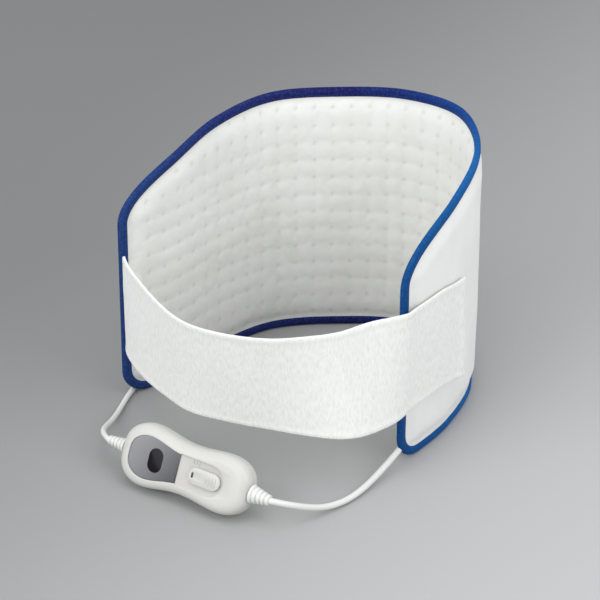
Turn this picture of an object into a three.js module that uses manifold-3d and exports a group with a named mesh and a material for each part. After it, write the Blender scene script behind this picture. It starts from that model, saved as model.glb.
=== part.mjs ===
// Heating pad worn as a belt, with a closing strap and an in-line slide controller.
// Millimetres, +Z up. The belt stands closed on its lower edge, with the strap at the front (-Y).
import * as THREE from 'three';
import { mergeVertices } from 'three/addons/utils/BufferGeometryUtils.js';
import Module from 'manifold-3d';

const wasm = await Module();
wasm.setup();

// Fit between neighbouring pieces
const clearance = 0.3;

// Pad outline, laid flat
const padLength = 600;
const padHeight = 270;
const cornerRadius = 30;
const shoulderLength = 208;
const shoulderDrop = 76;

// Pad layers, from the body side to the outside
const coverThickness = 1.2;
const feltThickness = 1.8;
const wireDiameter = 2.4;
const waddingThickness = 2.2;
const seamAllowance = 12;
const pinchWidth = 14;
const layerInset = 34;

// Edge binding, a folded tape
const bindingWidth = 9;
const bindingThickness = 1.2;

// Heating wire and the parts on it
const wirePasses = 20;
const wireEdge = 46;
const wireReturnHeight = 40;
const wireReturnGap = 10;
const wireLeadIn = 8;
const spliceLength = 26;
const spliceHeight = 14;
const spliceThickness = 2.2;
const cutoutLength = 14;
const cutoutWidth = 8;
const cutoutThickness = 1.8;
const cutoutShares = [0.41, 0.7];
const cutoutPasses = 10;

// Closing strap and its hook patch
const strapBottom = 64;
const strapWidth = 110;
const strapThickness = 2.4;
const strapOverlap = 89;
const strapEdgeReach = 9;
const strapLeanPower = 2.1;
const hookLength = 52;
const hookWidth = 86;
const hookThickness = 1.6;
const seamTabLength = 12;
const mitreLength = 22;
const mitreFall = 1.25;
const seamTabThickness = 2.4;

// Controller housing
const caseLength = 138;
const headWidth = 69;
const waistWidth = 48.6;
const tailWidth = 63.4;
const caseTop = 12.5;
const caseBottom = 14.5;
const caseWall = 2.2;
const caseRoundness = 0.65;
const waistReach = 0.87;
const caseYaw = -32.2;
const caseRoll = 62.8;
const caseCentre = [-100.7, -151.9];

// Controller face
const faceInset = 10.3;
const faceDepth = 1.4;
const recessTailGap = 24.7;
const recessEnd = caseLength / 2 - recessTailGap;
const recessWidth = 30;
const windowCentre = -29.4;
const windowLength = 23;
const windowWidth = 15;

// Slide switch
const knobLength = 33.6;
const knobWidth = 16;
const knobHeight = 2.6;
const knobTailGap = 27.5;
const knobRest = caseLength / 2 - knobTailGap;
const knobTravel = 12;
const knobPanelGap = 0.5;
const panelEnd = knobRest - knobLength - knobTravel - knobPanelGap;
const ribCount = 4;
const ribPitch = 3.2;
const ribWidth = 1;
const ribHeight = 0.9;
const stemSetback = 16.8;
const stemLength = 5;
const stemWidth = 4;

// Circuit board and what it carries
const boardWidth = 20;
const boardThickness = 1.6;
const boardHeight = -3;
const terminalSize = [6, 14, 8];
const terminalTailGap = 21.666;
const terminalX = caseLength / 2 - terminalTailGap;
const boardMargin = 0.933;
const boardLength = 2 * (terminalX + terminalSize[0] / 2 + boardMargin);
const triacSize = [10, 4.6, 9];
const capacitorSize = [11, 6, 9];
const powerY = 6;
const powerGap = 0.746;
const powerX = terminalX - terminalSize[0] / 2 - powerGap - capacitorSize[0] / 2;
const displaySize = [12, 19];
const fuseLength = 16;
const fuseDiameter = 5;
const fuseX = -13;
const postDiameter = 5;
const postX = 32;
const postY = 6;

// Case screws and their bosses
const screwX = 42;
const screwY = 14.2;
const screwDiameter = 2.6;
const screwHead = 5.2;
const screwLength = 16;
const bossDiameter = 6.4;

// Strain relief boots
const bootLength = 18.5;
const bootRoot = [7.4, 9.2];
const bootTip = [4.2, 5];
const bootNeck = 5.6;
const bootFlange = 2;
const bootCatch = 1.5;
const bootRibs = 4;

// Leads, coil and plug
const padLeadDiameter = 6;
const mainsLeadDiameter = 5;
const coilCentre = [-86, 152];
const coilRadius = 32.5;
const coilTurns = 7.25;
const coilLayers = 4;
const coilGap = 0.7;
const tieWidth = 9;
const tieThickness = 1.2;
const plugLength = 34;
const plugWidth = 35;
const plugHeight = 13.7;
const plugNeck = 15;
const pinDiameter = 4;
const pinLength = 19;
const pinSpacing = 18.6;
const plugBootLength = 18;

// Belt line seen from above, from the pad's right end round the back to its left end.
// These stations set the shape only: the line is scaled to padLength.
const beltStations = [
  [93.5, -106.1], [142.2, -41.5], [166.8, 27.6], [152.5, 96.4], [104.5, 127.9],
  [39.6, 133.5], [-25.5, 124.2], [-76.8, 89.2], [-119.8, 42.4], [-168.7, 4.8],
];
// The strap's free front, between the pad's left end and its right end
const strapStations = [
  [-163.2, -12], [-108.7, -110.2], [-70.5, -132.8], [-21.7, -145.2], [39.9, -145.9], [73.5, -129.7],
];
// Free stretch of the pad lead, laid on the table from the controller's right boot
const padLeadRoute = [[2, -194, 19], [18, -183, 8.5], [36, -171, 3.4], [54, -155, 3.4], [72, -131, 6]];
// Free stretch of the mains lead, from the left boot, under the pad's rounded corner, to the coil
const mainsLeadRoute = [
  [-184, -84, 24], [-181, -60, 13], [-174, -34, 4], [-167.5, -10, 3], [-161.3, 9.7, 3],
  [-152, 30, 3], [-140, 56, 3], [-126, 92, 3.4],
];

const radians = THREE.MathUtils.degToRad;
const lerp = THREE.MathUtils.lerp;
const clamp = THREE.MathUtils.clamp;

// Materials
const material = (color, roughness, metalness = 0) =>
  new THREE.MeshStandardMaterial({ color, roughness, metalness });
const quiltFabric = material(0xdadad5, 0.95);
const brushedFabric = material(0xe4e4e2, 0.95);
const strapFabric = material(0xe2e2e0, 0.95);
const feltFabric = material(0xcfc9bb, 1);
const waddingFabric = material(0xf2f1ec, 1);
const bindingTape = material(0x1f3f8f, 0.8);
const hookTape = material(0xd8d8d6, 0.9);
const wireSilicone = material(0xb8452e, 0.6);
const caseWhite = material(0xeeefec, 0.4);
const panelGrey = material(0x858688, 0.45);
const windowBlack = material(0x0c080d, 0.12);
const boardGreen = material(0x2f6b3f, 0.6);
const componentBlack = material(0x1e1e20, 0.5);
const componentYellow = material(0xd9b23c, 0.5);
const terminalGreen = material(0x3f8f58, 0.5);
const glassClear = material(0xdfe6e6, 0.1);
const steel = material(0xb9bcc0, 0.3, 1);
const leadWhite = material(0xf7f7f5, 0.5);
const coreBrown = material(0x6b4226, 0.6);
const coreBlue = material(0x3a5fae, 0.6);

const part = new THREE.Group();
const add = (parent, name, geometry, look) => {
  const mesh = new THREE.Mesh(geometry, look);
  mesh.name = name;
  parent.add(mesh);
  return mesh;
};

// Turns a geometry inside out where its faces point inwards
function facingOut(geometry) {
  const position = geometry.attributes.position;
  const index = geometry.index;
  const a = new THREE.Vector3();
  const b = new THREE.Vector3();
  const c = new THREE.Vector3();
  let volume = 0;
  for (let i = 0; i < index.count; i += 3) {
    a.fromBufferAttribute(position, index.getX(i));
    b.fromBufferAttribute(position, index.getX(i + 1));
    c.fromBufferAttribute(position, index.getX(i + 2));
    volume += a.dot(b.cross(c));
  }
  if (volume < 0) {
    for (let i = 0; i < index.count; i += 3) {
      const first = index.getX(i);
      index.setX(i, index.getX(i + 1));
      index.setX(i + 1, first);
    }
  }
  return geometry;
}

// A closed mesh with merged vertices and positions only
function welded(geometry) {
  const bare = geometry.clone();
  bare.deleteAttribute('normal');
  bare.deleteAttribute('uv');
  return facingOut(mergeVertices(bare, 1e-4));
}

function solid(geometry) {
  const mesh = welded(geometry);
  return new wasm.Manifold(new wasm.Mesh({
    numProp: 3,
    vertProperties: new Float32Array(mesh.attributes.position.array),
    triVerts: new Uint32Array(mesh.index.array),
  }));
}

function geometryOf(body) {
  const mesh = body.getMesh();
  const geometry = new THREE.BufferGeometry();
  geometry.setAttribute('position', new THREE.BufferAttribute(mesh.vertProperties, 3));
  geometry.setIndex(new THREE.BufferAttribute(mesh.triVerts, 1));
  geometry.computeVertexNormals();
  return geometry;
}

// A closed skin over rings of equal point counts, with flat ends or as an endless loop
function skin(rings, endless = false) {
  const count = rings[0].length;
  const points = rings.flat();
  const index = [];
  const spans = endless ? rings.length : rings.length - 1;
  for (let i = 0; i < spans; i++) {
    for (let j = 0; j < count; j++) {
      const a = i * count + j;
      const b = i * count + (j + 1) % count;
      const c = ((i + 1) % rings.length) * count + j;
      const d = ((i + 1) % rings.length) * count + (j + 1) % count;
      index.push(a, b, d, a, d, c);
    }
  }
  if (!endless) {
    for (const end of [0, rings.length - 1]) {
      const centre = new THREE.Vector3();
      rings[end].forEach((point) => centre.addScaledVector(point, 1 / count));
      points.push(centre);
      for (let j = 0; j < count; j++) {
        const a = end * count + j;
        const b = end * count + (j + 1) % count;
        index.push(points.length - 1, ...(end === 0 ? [b, a] : [a, b]));
      }
    }
  }
  const geometry = new THREE.BufferGeometry().setFromPoints(points);
  geometry.setIndex(index);
  facingOut(geometry);
  geometry.computeVertexNormals();
  return geometry;
}

// A round bar through given points, each with a ring square to the run
function bar(points, radius, sides) {
  const tangents = points.map((point, i) => {
    const before = points[Math.max(i - 1, 0)];
    const after = points[Math.min(i + 1, points.length - 1)];
    return after.clone().sub(before).normalize();
  });
  const side = new THREE.Vector3(0, 0, 1);
  if (Math.abs(tangents[0].z) > 0.9) side.set(1, 0, 0);
  const rings = points.map((point, i) => {
    side.addScaledVector(tangents[i], -side.dot(tangents[i])).normalize();
    const up = tangents[i].clone().cross(side);
    return Array.from({ length: sides }, (_, j) => {
      const angle = (2 * Math.PI * j) / sides;
      return point.clone()
        .addScaledVector(side, radius * Math.cos(angle))
        .addScaledVector(up, radius * Math.sin(angle));
    });
  });
  return skin(rings);
}

function circle(radius, sides) {
  const points = Array.from({ length: sides }, (_, j) => {
    const angle = (2 * Math.PI * j) / sides;
    return new THREE.Vector2(radius * Math.cos(angle), radius * Math.sin(angle));
  });
  return new THREE.Shape(points);
}

// A lead along a smooth route
function lead(route, diameter, steps) {
  const path = new THREE.CatmullRomCurve3(route);
  return new THREE.ExtrudeGeometry(circle(diameter / 2, 8), { extrudePath: path, steps });
}

// A turned piece on the X axis, from pairs of radius and distance along X
function turned(profile, sides = 16) {
  const points = profile.map(([radius, along]) => new THREE.Vector2(radius, along));
  const geometry = welded(new THREE.LatheGeometry(points, sides));
  geometry.rotateZ(-Math.PI / 2);
  geometry.computeVertexNormals();
  return geometry;
}

// An upright cylinder between two heights
function post(x, y, from, to, diameter, sides = 12) {
  const geometry = new THREE.CylinderGeometry(diameter / 2, diameter / 2, to - from, sides);
  geometry.rotateX(Math.PI / 2);
  geometry.translate(x, y, (from + to) / 2);
  return geometry;
}

function block(centre, size) {
  const geometry = new THREE.BoxGeometry(...size);
  geometry.translate(...centre);
  return geometry;
}

// An upright slab of a flat outline between two heights
function slab(shape, from, to, curveSegments = 8) {
  const geometry = new THREE.ExtrudeGeometry(shape, { depth: to - from, bevelEnabled: false, curveSegments });
  geometry.translate(0, 0, from);
  return geometry;
}

// A flat outline with two half-round ends along X or Y
function stadium(centre, length, width, alongY = false) {
  const shape = new THREE.Shape();
  const straight = (length - width) / 2;
  const radius = width / 2;
  if (alongY) {
    shape.absarc(centre, straight, radius, 0, Math.PI);
    shape.absarc(centre, -straight, radius, Math.PI, 2 * Math.PI);
  } else {
    shape.absarc(centre + straight, 0, radius, -Math.PI / 2, Math.PI / 2);
    shape.absarc(centre - straight, 0, radius, Math.PI / 2, 1.5 * Math.PI);
  }
  return shape;
}

// A faceted line with outward normals, so that all layers on it share its facets
function facetedLine(nodes) {
  const place = (arc, height, out) => {
    let k = 0;
    while (k < nodes.length - 2 && nodes[k + 1].arc <= arc) k++;
    const share = (arc - nodes[k].arc) / (nodes[k + 1].arc - nodes[k].arc);
    const start = nodes[k].point.clone().addScaledVector(nodes[k].outward, out);
    const end = nodes[k + 1].point.clone().addScaledVector(nodes[k + 1].outward, out);
    return start.lerp(end, share).setZ(height);
  };
  const between = (from, to) => {
    const arcs = nodes.map((node) => node.arc);
    return [from, ...arcs.filter((arc) => arc > from + 0.05 && arc < to - 0.05), to];
  };
  return { place, between };
}

const outwardOf = (tangent) => new THREE.Vector3(tangent.y, -tangent.x, 0).normalize();
const planVector = ([x, y]) => new THREE.Vector3(x, y, 0);
const flatCurve = (points) => new THREE.CatmullRomCurve3(points, false, 'centripetal');
const beltScale = padLength / flatCurve(beltStations.map(planVector)).getLength();
const scaled = (stations) => stations.map((station) => planVector(station).multiplyScalar(beltScale));
const beltCurve = flatCurve(scaled(beltStations));

// Columns shared by the pad's pieces: close together round the corners, even between them
const cornerSteps = 8;
const cornerArcs = Array.from({ length: cornerSteps + 1 }, (_, i) =>
  cornerRadius * (1 - Math.cos((i / cornerSteps) * (Math.PI / 2))));
const evenSteps = 20;
const evenArcs = Array.from({ length: evenSteps - 1 }, (_, i) =>
  lerp(cornerRadius, padLength - cornerRadius, (i + 1) / evenSteps));
const columns = [...cornerArcs, ...evenArcs, ...cornerArcs.map((arc) => padLength - arc).reverse()];
const belt = facetedLine(columns.map((arc) => ({
  arc,
  point: beltCurve.getPointAt(arc / padLength),
  outward: outwardOf(beltCurve.getTangentAt(arc / padLength)),
})));

// Lower and upper edge of the pad's outline, drawn in by an inset
function outline(inset) {
  const radius = Math.max(cornerRadius - inset, 1);
  const rise = shoulderDrop - inset;
  const run = shoulderLength - inset;
  const fromEnd = (arc) => Math.min(arc, padLength - arc) - inset;
  const bottom = (arc) => {
    const share = clamp(1 - fromEnd(arc) / radius, 0, 1);
    return inset + radius * (1 - Math.sqrt(1 - share * share));
  };
  const top = (arc) => {
    const share = clamp(1 - fromEnd(arc) / run, 0, 1);
    return padHeight - inset - rise * (1 - Math.sqrt(1 - share * share));
  };
  // How much longer an upright step is than one square to the sloping upper edge
  const steep = (arc) => {
    const share = clamp(1 - fromEnd(arc) / run, 0, 0.97);
    return Math.hypot(1, (rise / run) * share / Math.sqrt(1 - share * share));
  };
  return { bottom, top, steep };
}

// A layer of cloth on a faceted line: columns along it, rows up it, and a skin on each side
function layer(line, arcs, rows, inner, outer) {
  const rowCount = rows(arcs[0]).length;
  const geometry = new THREE.BoxGeometry(1, 1, 1, arcs.length - 1, rowCount - 1, 1);
  const position = geometry.attributes.position;
  for (let i = 0; i < position.count; i++) {
    const arc = arcs[Math.round((position.getX(i) + 0.5) * (arcs.length - 1))];
    const height = rows(arc)[Math.round((position.getY(i) + 0.5) * (rowCount - 1))];
    const out = position.getZ(i) > 0 ? outer(arc, height) : inner(arc, height);
    position.setXYZ(i, ...line.place(arc, height, out).toArray());
  }
  return welded(geometry);
}

// Stack of layers on each side of the pad's middle surface
const wireSpace = wireDiameter + 2 * clearance;
const stackHalf = (feltThickness + wireSpace + waddingThickness) / 2 + clearance;
const feltOut = -stackHalf + clearance;
const wireOut = feltOut + feltThickness + wireSpace / 2;
const waddingOut = wireOut + wireSpace / 2;
const padHalf = stackHalf + coverThickness;
const seamHalf = clearance / 2;
const bindingSlot = seamHalf + coverThickness + clearance;
const bindingHalf = bindingSlot + bindingThickness;
const coverInset = bindingThickness + clearance;
const coverOutline = outline(coverInset);

// The covers lie together inside the binding and part over the pinch behind it
function coverLift(arc, height) {
  const fromEnd = Math.min(arc, padLength - arc) - coverInset;
  const fromTop = (coverOutline.top(arc) - height) / coverOutline.steep(arc);
  const edge = Math.min(height - coverOutline.bottom(arc), fromTop, fromEnd);
  const share = clamp((edge - seamAllowance) / pinchWidth, 0, 1);
  return lerp(seamHalf, stackHalf, Math.sin((share * Math.PI) / 2));
}

function coverRows(arc) {
  const low = coverOutline.bottom(arc);
  const high = coverOutline.top(arc);
  const near = [0, seamAllowance, seamAllowance + pinchWidth / 2, seamAllowance + pinchWidth];
  const steep = coverOutline.steep(arc);
  const between = (share) => lerp(low + near[3], high - near[3] * steep, share);
  return [
    ...near.map((step) => low + step),
    between(1 / 3), between(2 / 3),
    ...near.map((step) => high - step * steep).reverse(),
  ];
}

function buildCovers() {
  const arcs = belt.between(coverInset, padLength - coverInset);
  const inner = layer(belt, arcs, coverRows,
    (arc, height) => -coverLift(arc, height) - coverThickness, (arc, height) => -coverLift(arc, height));
  const outer = layer(belt, arcs, coverRows,
    (arc, height) => coverLift(arc, height), (arc, height) => coverLift(arc, height) + coverThickness);
  add(part, 'inner_cover', inner, quiltFabric);
  add(part, 'outer_cover', outer, brushedFabric);
}

// The binding folds over both covers all the way round the outline
function buildBinding() {
  const edge = outline(0);
  const lower = columns.map((arc) => new THREE.Vector2(arc, edge.bottom(arc)));
  const upper = columns.map((arc) => new THREE.Vector2(arc, edge.top(arc))).reverse();
  const loop = [...lower, ...upper];
  const corner = bindingThickness;
  const section = [
    [-bindingHalf, bindingWidth], [-bindingHalf, corner], [-bindingSlot, 0],
    [bindingSlot, 0], [bindingHalf, corner], [bindingHalf, bindingWidth],
    [bindingSlot, bindingWidth], [bindingSlot, bindingThickness],
    [-bindingSlot, bindingThickness], [-bindingSlot, bindingWidth],
  ];
  // The tape's depth runs square to the edge at the corners, and upright along a column between them
  const rings = loop.map((point, i) => {
    const before = loop[(i + loop.length - 1) % loop.length];
    const after = loop[(i + 1) % loop.length];
    const along = after.clone().sub(before).normalize();
    const atCorner = Math.min(point.x, padLength - point.x) < cornerRadius - clearance;
    const inward = new THREE.Vector2(-along.y, along.x);
    if (!atCorner) inward.set(0, i < lower.length ? 1 : -edge.steep(point.x));
    return section.map(([out, depth]) =>
      belt.place(point.x + inward.x * depth, point.y + inward.y * depth, out));
  });
  add(part, 'edge_binding', skin(rings, true), bindingTape);
}

// Felt carrier and wadding fill the space between the covers
function buildFilling() {
  const inside = outline(layerInset);
  const arcs = belt.between(layerInset, padLength - layerInset);
  const rows = (arc) => [0, 0.5, 1].map((share) => lerp(inside.bottom(arc), inside.top(arc), share));
  const flat = (out) => () => out;
  const felt = layer(belt, arcs, rows, flat(feltOut), flat(feltOut + feltThickness));
  add(part, 'felt_carrier', felt, feltFabric);
  add(part, 'wadding', layer(belt, arcs, rows, flat(waddingOut), flat(waddingOut + waddingThickness)),
    waddingFabric);
}

const spliceStart = layerInset + clearance;
const spliceEnd = spliceStart + spliceLength;
const wireStart = spliceEnd + wireLeadIn;
const wirePitch = (padLength - wireEdge - wireStart) / (wirePasses - 1);

// Heating wire: out along the lower edge, then back in upright passes to the splice
function buildHeatingWire() {
  const turn = wirePitch / 2;
  const lowTurn = wireReturnHeight + wireReturnGap + turn;
  const limit = outline(wireEdge);
  const flat = belt.between(spliceEnd + clearance, padLength - wireEdge - turn)
    .map((arc) => [arc, wireReturnHeight]);
  const route = [...flat];
  const quarter = (cx, cz, radius, from, to, steps) => {
    for (let i = 1; i <= steps; i++) {
      const angle = radians(lerp(from, to, i / steps));
      route.push([cx + radius * Math.cos(angle), cz + radius * Math.sin(angle)]);
    }
  };
  quarter(padLength - wireEdge - turn, wireReturnHeight + turn, turn, -90, 0, 3);
  for (let pass = 0; pass < wirePasses; pass++) {
    const arc = padLength - wireEdge - pass * wirePitch;
    const rising = pass % 2 === 0;
    const last = pass === wirePasses - 1;
    if (rising) {
      const high = Math.min(limit.top(arc), limit.top(arc - wirePitch)) - turn;
      route.push([arc, high]);
      quarter(arc - turn, high, turn, 0, 180, 4);
    } else if (!last) {
      route.push([arc, lowTurn]);
      quarter(arc - turn, lowTurn, turn, 0, -180, 4);
    }
  }
  const endRadius = wireStart - spliceEnd - 2;
  const endHeight = wireReturnHeight + spliceHeight / 2 - wireDiameter;
  route.push([wireStart, endHeight + endRadius]);
  quarter(wireStart - endRadius, endHeight + endRadius, endRadius, 0, -90, 3);
  route.push([spliceEnd + clearance, endHeight]);
  // Where the wire crosses a fold between two facets it folds with them
  const folded = route.flatMap(([arc, height], i) => {
    const [nextArc, nextHeight] = route[Math.min(i + 1, route.length - 1)];
    const folds = belt.between(Math.min(arc, nextArc), Math.max(arc, nextArc)).slice(1, -1);
    const crossed = folds.map((fold) => [fold, lerp(height, nextHeight, (fold - arc) / (nextArc - arc))]);
    return [[arc, height], ...(nextArc < arc ? crossed.reverse() : crossed)];
  });
  const points = folded.map(([arc, height]) => belt.place(arc, height, wireOut));
  add(part, 'heating_wire', bar(points, wireDiameter / 2, 5), wireSilicone);
}

// A flat block between the felt and the wadding
function padBlock(name, from, to, low, high, thickness, look) {
  const out = feltOut + feltThickness + clearance;
  const geometry = layer(belt, belt.between(from, to), () => [low, high], () => out, () => out + thickness);
  add(part, name, geometry, look);
}

function buildPadFittings() {
  const low = wireReturnHeight - wireDiameter;
  padBlock('lead_splice', spliceStart, spliceEnd, low, low + spliceHeight, spliceThickness, componentBlack);
  cutoutShares.forEach((share, i) => {
    const height = share * padHeight;
    const middle = wireStart + wirePitch * (wirePasses / 2 - 0.5 + cutoutPasses * (i - 0.5));
    padBlock(`thermal_cutout_${i + 1}`, middle - cutoutWidth / 2, middle + cutoutWidth / 2,
      height, height + cutoutLength, cutoutThickness, steel);
  });
}

// Strap line: folded up from its hem beside the binding, lapped on the pad's outer face at the right
const beadRadius = strapThickness / 2;
const hemEnd = padLength - bindingWidth - clearance;
const lapOut = padHalf + clearance + hookThickness + clearance + beadRadius;
const hemOut = seamHalf + coverThickness + clearance + seamTabThickness;
const hinge = belt.place(hemEnd - beadRadius, 0, -hemOut - clearance - beadRadius);
const lapPoint = (arc) => belt.place(arc, 0, lapOut);
const strapCurve = flatCurve([hinge, ...scaled(strapStations), lapPoint(0), lapPoint(strapOverlap)]);
const strapSteps = 24;

// The free front follows its own curve, and the lapped end takes the belt's facets
function strapNodes() {
  const freeShare = (strapStations.length + 1) / (strapStations.length + 2);
  const nodes = [];
  let arc = 0;
  for (let i = 0; i < strapSteps; i++) {
    const share = (freeShare * i) / strapSteps;
    const point = strapCurve.getPoint(share);
    if (i > 0) arc += point.distanceTo(nodes[i - 1].point);
    nodes.push({ arc, point, outward: outwardOf(strapCurve.getTangent(share)) });
  }
  const lapStart = arc + lapPoint(0).distanceTo(nodes[strapSteps - 1].point);
  belt.between(0, strapOverlap).forEach((along) => {
    const point = lapPoint(along);
    const outward = belt.place(along, 0, lapOut + 1).sub(point);
    nodes.push({ arc: lapStart + along, point, outward });
  });
  return nodes;
}

const strapLine = strapNodes();
const strap = facetedLine(strapLine);
const strapArcs = strapLine.map((node) => node.arc);
const strapLength = strapArcs[strapArcs.length - 1];
const strapFree = strapLength - strapOverlap;
const beadArcs = [-beadRadius, -0.7 * beadRadius];

// The free front leans: its upper edge stands out on the left, its lower edge on the right
function strapLean(arc, height) {
  const share = clamp(arc / strapFree, 0, 1) ** strapLeanPower;
  return strapEdgeReach * Math.sin(2 * Math.PI * share) * (2 * (height - strapBottom) / strapWidth - 1);
}

// Rows across the strap, whose upper corner is cut off slantwise towards the sewn end
function strapRows(arc) {
  const width = strapWidth - mitreFall * Math.max(mitreLength - arc, 0);
  return [0, 0.5, 1].map((share) => strapBottom + width * share);
}

function buildStrap() {
  const half = (arc) => (arc < 0 ? Math.sqrt(Math.max(beadRadius ** 2 - arc ** 2, 0.01)) : beadRadius);
  const body = layer(strap, [...beadArcs, ...strapArcs], strapRows,
    (arc, height) => strapLean(arc, height) - half(arc), (arc, height) => strapLean(arc, height) + half(arc));
  add(part, 'closure_strap', body, strapFabric);
  const patchEnd = strapLength - (strapOverlap - hookLength) / 2;
  const low = strapBottom + (strapWidth - hookWidth) / 2;
  const under = -beadRadius - clearance;
  const patch = layer(strap, strap.between(patchEnd - hookLength, patchEnd), () => [low, low + hookWidth],
    () => under - hookThickness, () => under);
  add(part, 'strap_hook_patch', patch, hookTape);
}

// The strap's hem is folded double and sewn down on the inner cover, behind the fold
function buildSeamTab() {
  const arcs = belt.between(hemEnd - seamTabLength, hemEnd);
  const lie = (arc, height) => -coverLift(arc, height) - coverThickness - clearance;
  const tab = layer(belt, arcs, (arc) => strapRows(arc - hemEnd),
    (arc, height) => lie(arc, height) - seamTabThickness, lie);
  add(part, 'strap_seam_tab', tab, strapFabric);
}

// Controller: built flat about its parting plane, then tipped towards the viewer
const controller = new THREE.Group();
const outlinePoints = 40;

// Half width of the case at a distance along it: broad head, drawn-in waist, broad tail
function caseHalfWidth(x) {
  const share = x / (caseLength / 2);
  const bulge = Math.min(Math.abs(share) / waistReach, 1);
  const end = share < 0 ? headWidth : tailWidth;
  return lerp(waistWidth, end, Math.sin((bulge * Math.PI) / 2) ** 2) / 2;
}

function caseOutline(inset) {
  const power = (value) => Math.sign(value) * Math.abs(value) ** caseRoundness;
  return Array.from({ length: outlinePoints }, (_, i) => {
    const angle = (2 * Math.PI * i) / outlinePoints;
    const reach = power(Math.cos(angle));
    const half = caseHalfWidth((reach * caseLength) / 2) - inset;
    return new THREE.Vector2((caseLength / 2 - inset) * reach, half * power(Math.sin(angle)));
  });
}

function caseLoft(levels) {
  return skin(levels.map(([height, inset]) =>
    caseOutline(inset).map((point) => new THREE.Vector3(point.x, point.y, height))));
}

const topLevels = [[0, 0], [0.42, 0.4], [0.7, 1.7], [0.88, 4], [0.97, 7.4], [1, 12]];
const bottomLevels = [[0, 0], [0.4, 0.5], [0.7, 2.2], [0.88, 5], [0.97, 9], [1, 14]];

// A shell half: its outer loft less the same loft drawn in by the wall, with posts that stay inside it
function shellHalf(levels, height, posts) {
  const gap = Math.sign(height) * clearance / 2;
  const outer = solid(caseLoft(levels.map(([share, inset]) => [share === 0 ? gap : share * height, inset])));
  const inner = solid(caseLoft(levels.map(([share, inset]) => [
    share === 0 ? -gap : share * (height - Math.sign(height) * caseWall), inset + caseWall])));
  let shell = outer.subtract(inner);
  posts.forEach((geometry) => {
    shell = shell.add(solid(geometry).intersect(outer));
  });
  return shell;
}

const screwPlaces = [[-screwX, -screwY], [screwX, -screwY], [screwX, screwY], [-screwX, screwY]];
const screwSeat = -caseBottom + 5;
const knobStem = knobRest - stemSetback;
const faceFloor = caseTop - faceDepth;
const endOpening = () => {
  const geometry = turned([[0, -caseLength], [bootNeck + clearance, -caseLength],
    [bootNeck + clearance, caseLength], [0, caseLength]]);
  return solid(geometry);
};

// Panel field of the face: the head's outline drawn in and cut straight across
function panelShape(inset) {
  const points = caseOutline(faceInset + inset).filter((point) => point.x < panelEnd - inset - 1);
  const half = caseHalfWidth(panelEnd) - faceInset - inset;
  const edge = [new THREE.Vector2(panelEnd - inset, -half), new THREE.Vector2(panelEnd - inset, half)];
  const upper = points.filter((point) => point.y >= 0);
  const lower = points.filter((point) => point.y < 0);
  return new THREE.Shape([...edge, ...upper, ...lower]);
}

function recessShape() {
  const shape = new THREE.Shape();
  const radius = recessWidth / 2;
  shape.moveTo(panelEnd, -radius);
  shape.lineTo(recessEnd - radius, -radius);
  shape.absarc(recessEnd - radius, 0, radius, -Math.PI / 2, Math.PI / 2);
  shape.lineTo(panelEnd, radius);
  return shape;
}

function buildTopShell() {
  const above = caseTop + 1;
  const bosses = screwPlaces.map(([x, y]) => post(x, y, 0, caseTop - caseWall + 0.5, bossDiameter));
  let shell = shellHalf(topLevels, caseTop, bosses);
  screwPlaces.forEach(([x, y]) => {
    shell = shell.subtract(solid(post(x, y, -1, screwSeat + screwLength + 1, screwDiameter + 2 * clearance)));
  });
  const slotLength = knobTravel + stemLength + 2 * clearance;
  const cuts = [
    slab(panelShape(0), faceFloor, above),
    slab(recessShape(), faceFloor, above),
    slab(stadium(windowCentre, windowLength - 3, windowWidth - 3, true), 0, above),
    block([knobStem - knobTravel / 2, 0, caseTop], [slotLength, stemWidth + 2 * clearance, 2 * caseTop]),
  ];
  cuts.forEach((cut) => {
    shell = shell.subtract(solid(cut));
  });
  add(controller, 'controller_top_shell', geometryOf(shell.subtract(endOpening())), caseWhite);
}

function buildBottomShell() {
  const bosses = screwPlaces.map(([x, y]) => post(x, y, -caseBottom, 0, bossDiameter));
  const boardPosts = [[-postX, -postY], [postX, -postY], [postX, postY], [-postX, postY]]
    .map(([x, y]) => post(x, y, -caseBottom, boardHeight - clearance, postDiameter));
  let shell = shellHalf(bottomLevels, -caseBottom, [...bosses, ...boardPosts]);
  screwPlaces.forEach(([x, y]) => {
    shell = shell.subtract(solid(post(x, y, -caseBottom - 1, 1, screwDiameter + 2 * clearance)));
    shell = shell.subtract(solid(post(x, y, -caseBottom - 1, screwSeat, screwHead + 2 * clearance)));
  });
  add(controller, 'controller_bottom_shell', geometryOf(shell.subtract(endOpening())), caseWhite);
}

function buildCaseScrews() {
  screwPlaces.forEach(([x, y], i) => {
    const seat = screwSeat - clearance;
    const head = 1.8;
    const profile = [[0, 0], [screwHead / 2, 0], [screwHead / 2, head], [screwDiameter / 2, head],
      [screwDiameter / 2, screwLength], [0, screwLength]];
    const screw = turned(profile, 10);
    screw.rotateY(-Math.PI / 2);
    screw.translate(x, y, seat - head);
    add(controller, `case_screw_${i + 1}`, screw, steel);
  });
}

// The grey panel with its oval opening, and the dark window set into it
function buildFace() {
  const low = faceFloor + clearance;
  const shape = panelShape(clearance);
  shape.holes.push(stadium(windowCentre, windowLength + 2 * clearance, windowWidth + 2 * clearance, true));
  add(controller, 'display_panel', welded(slab(shape, low, caseTop)), panelGrey);
  const oval = stadium(windowCentre, windowLength, windowWidth, true);
  add(controller, 'display_window', welded(slab(oval, low, caseTop + clearance)), windowBlack);
}

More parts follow.
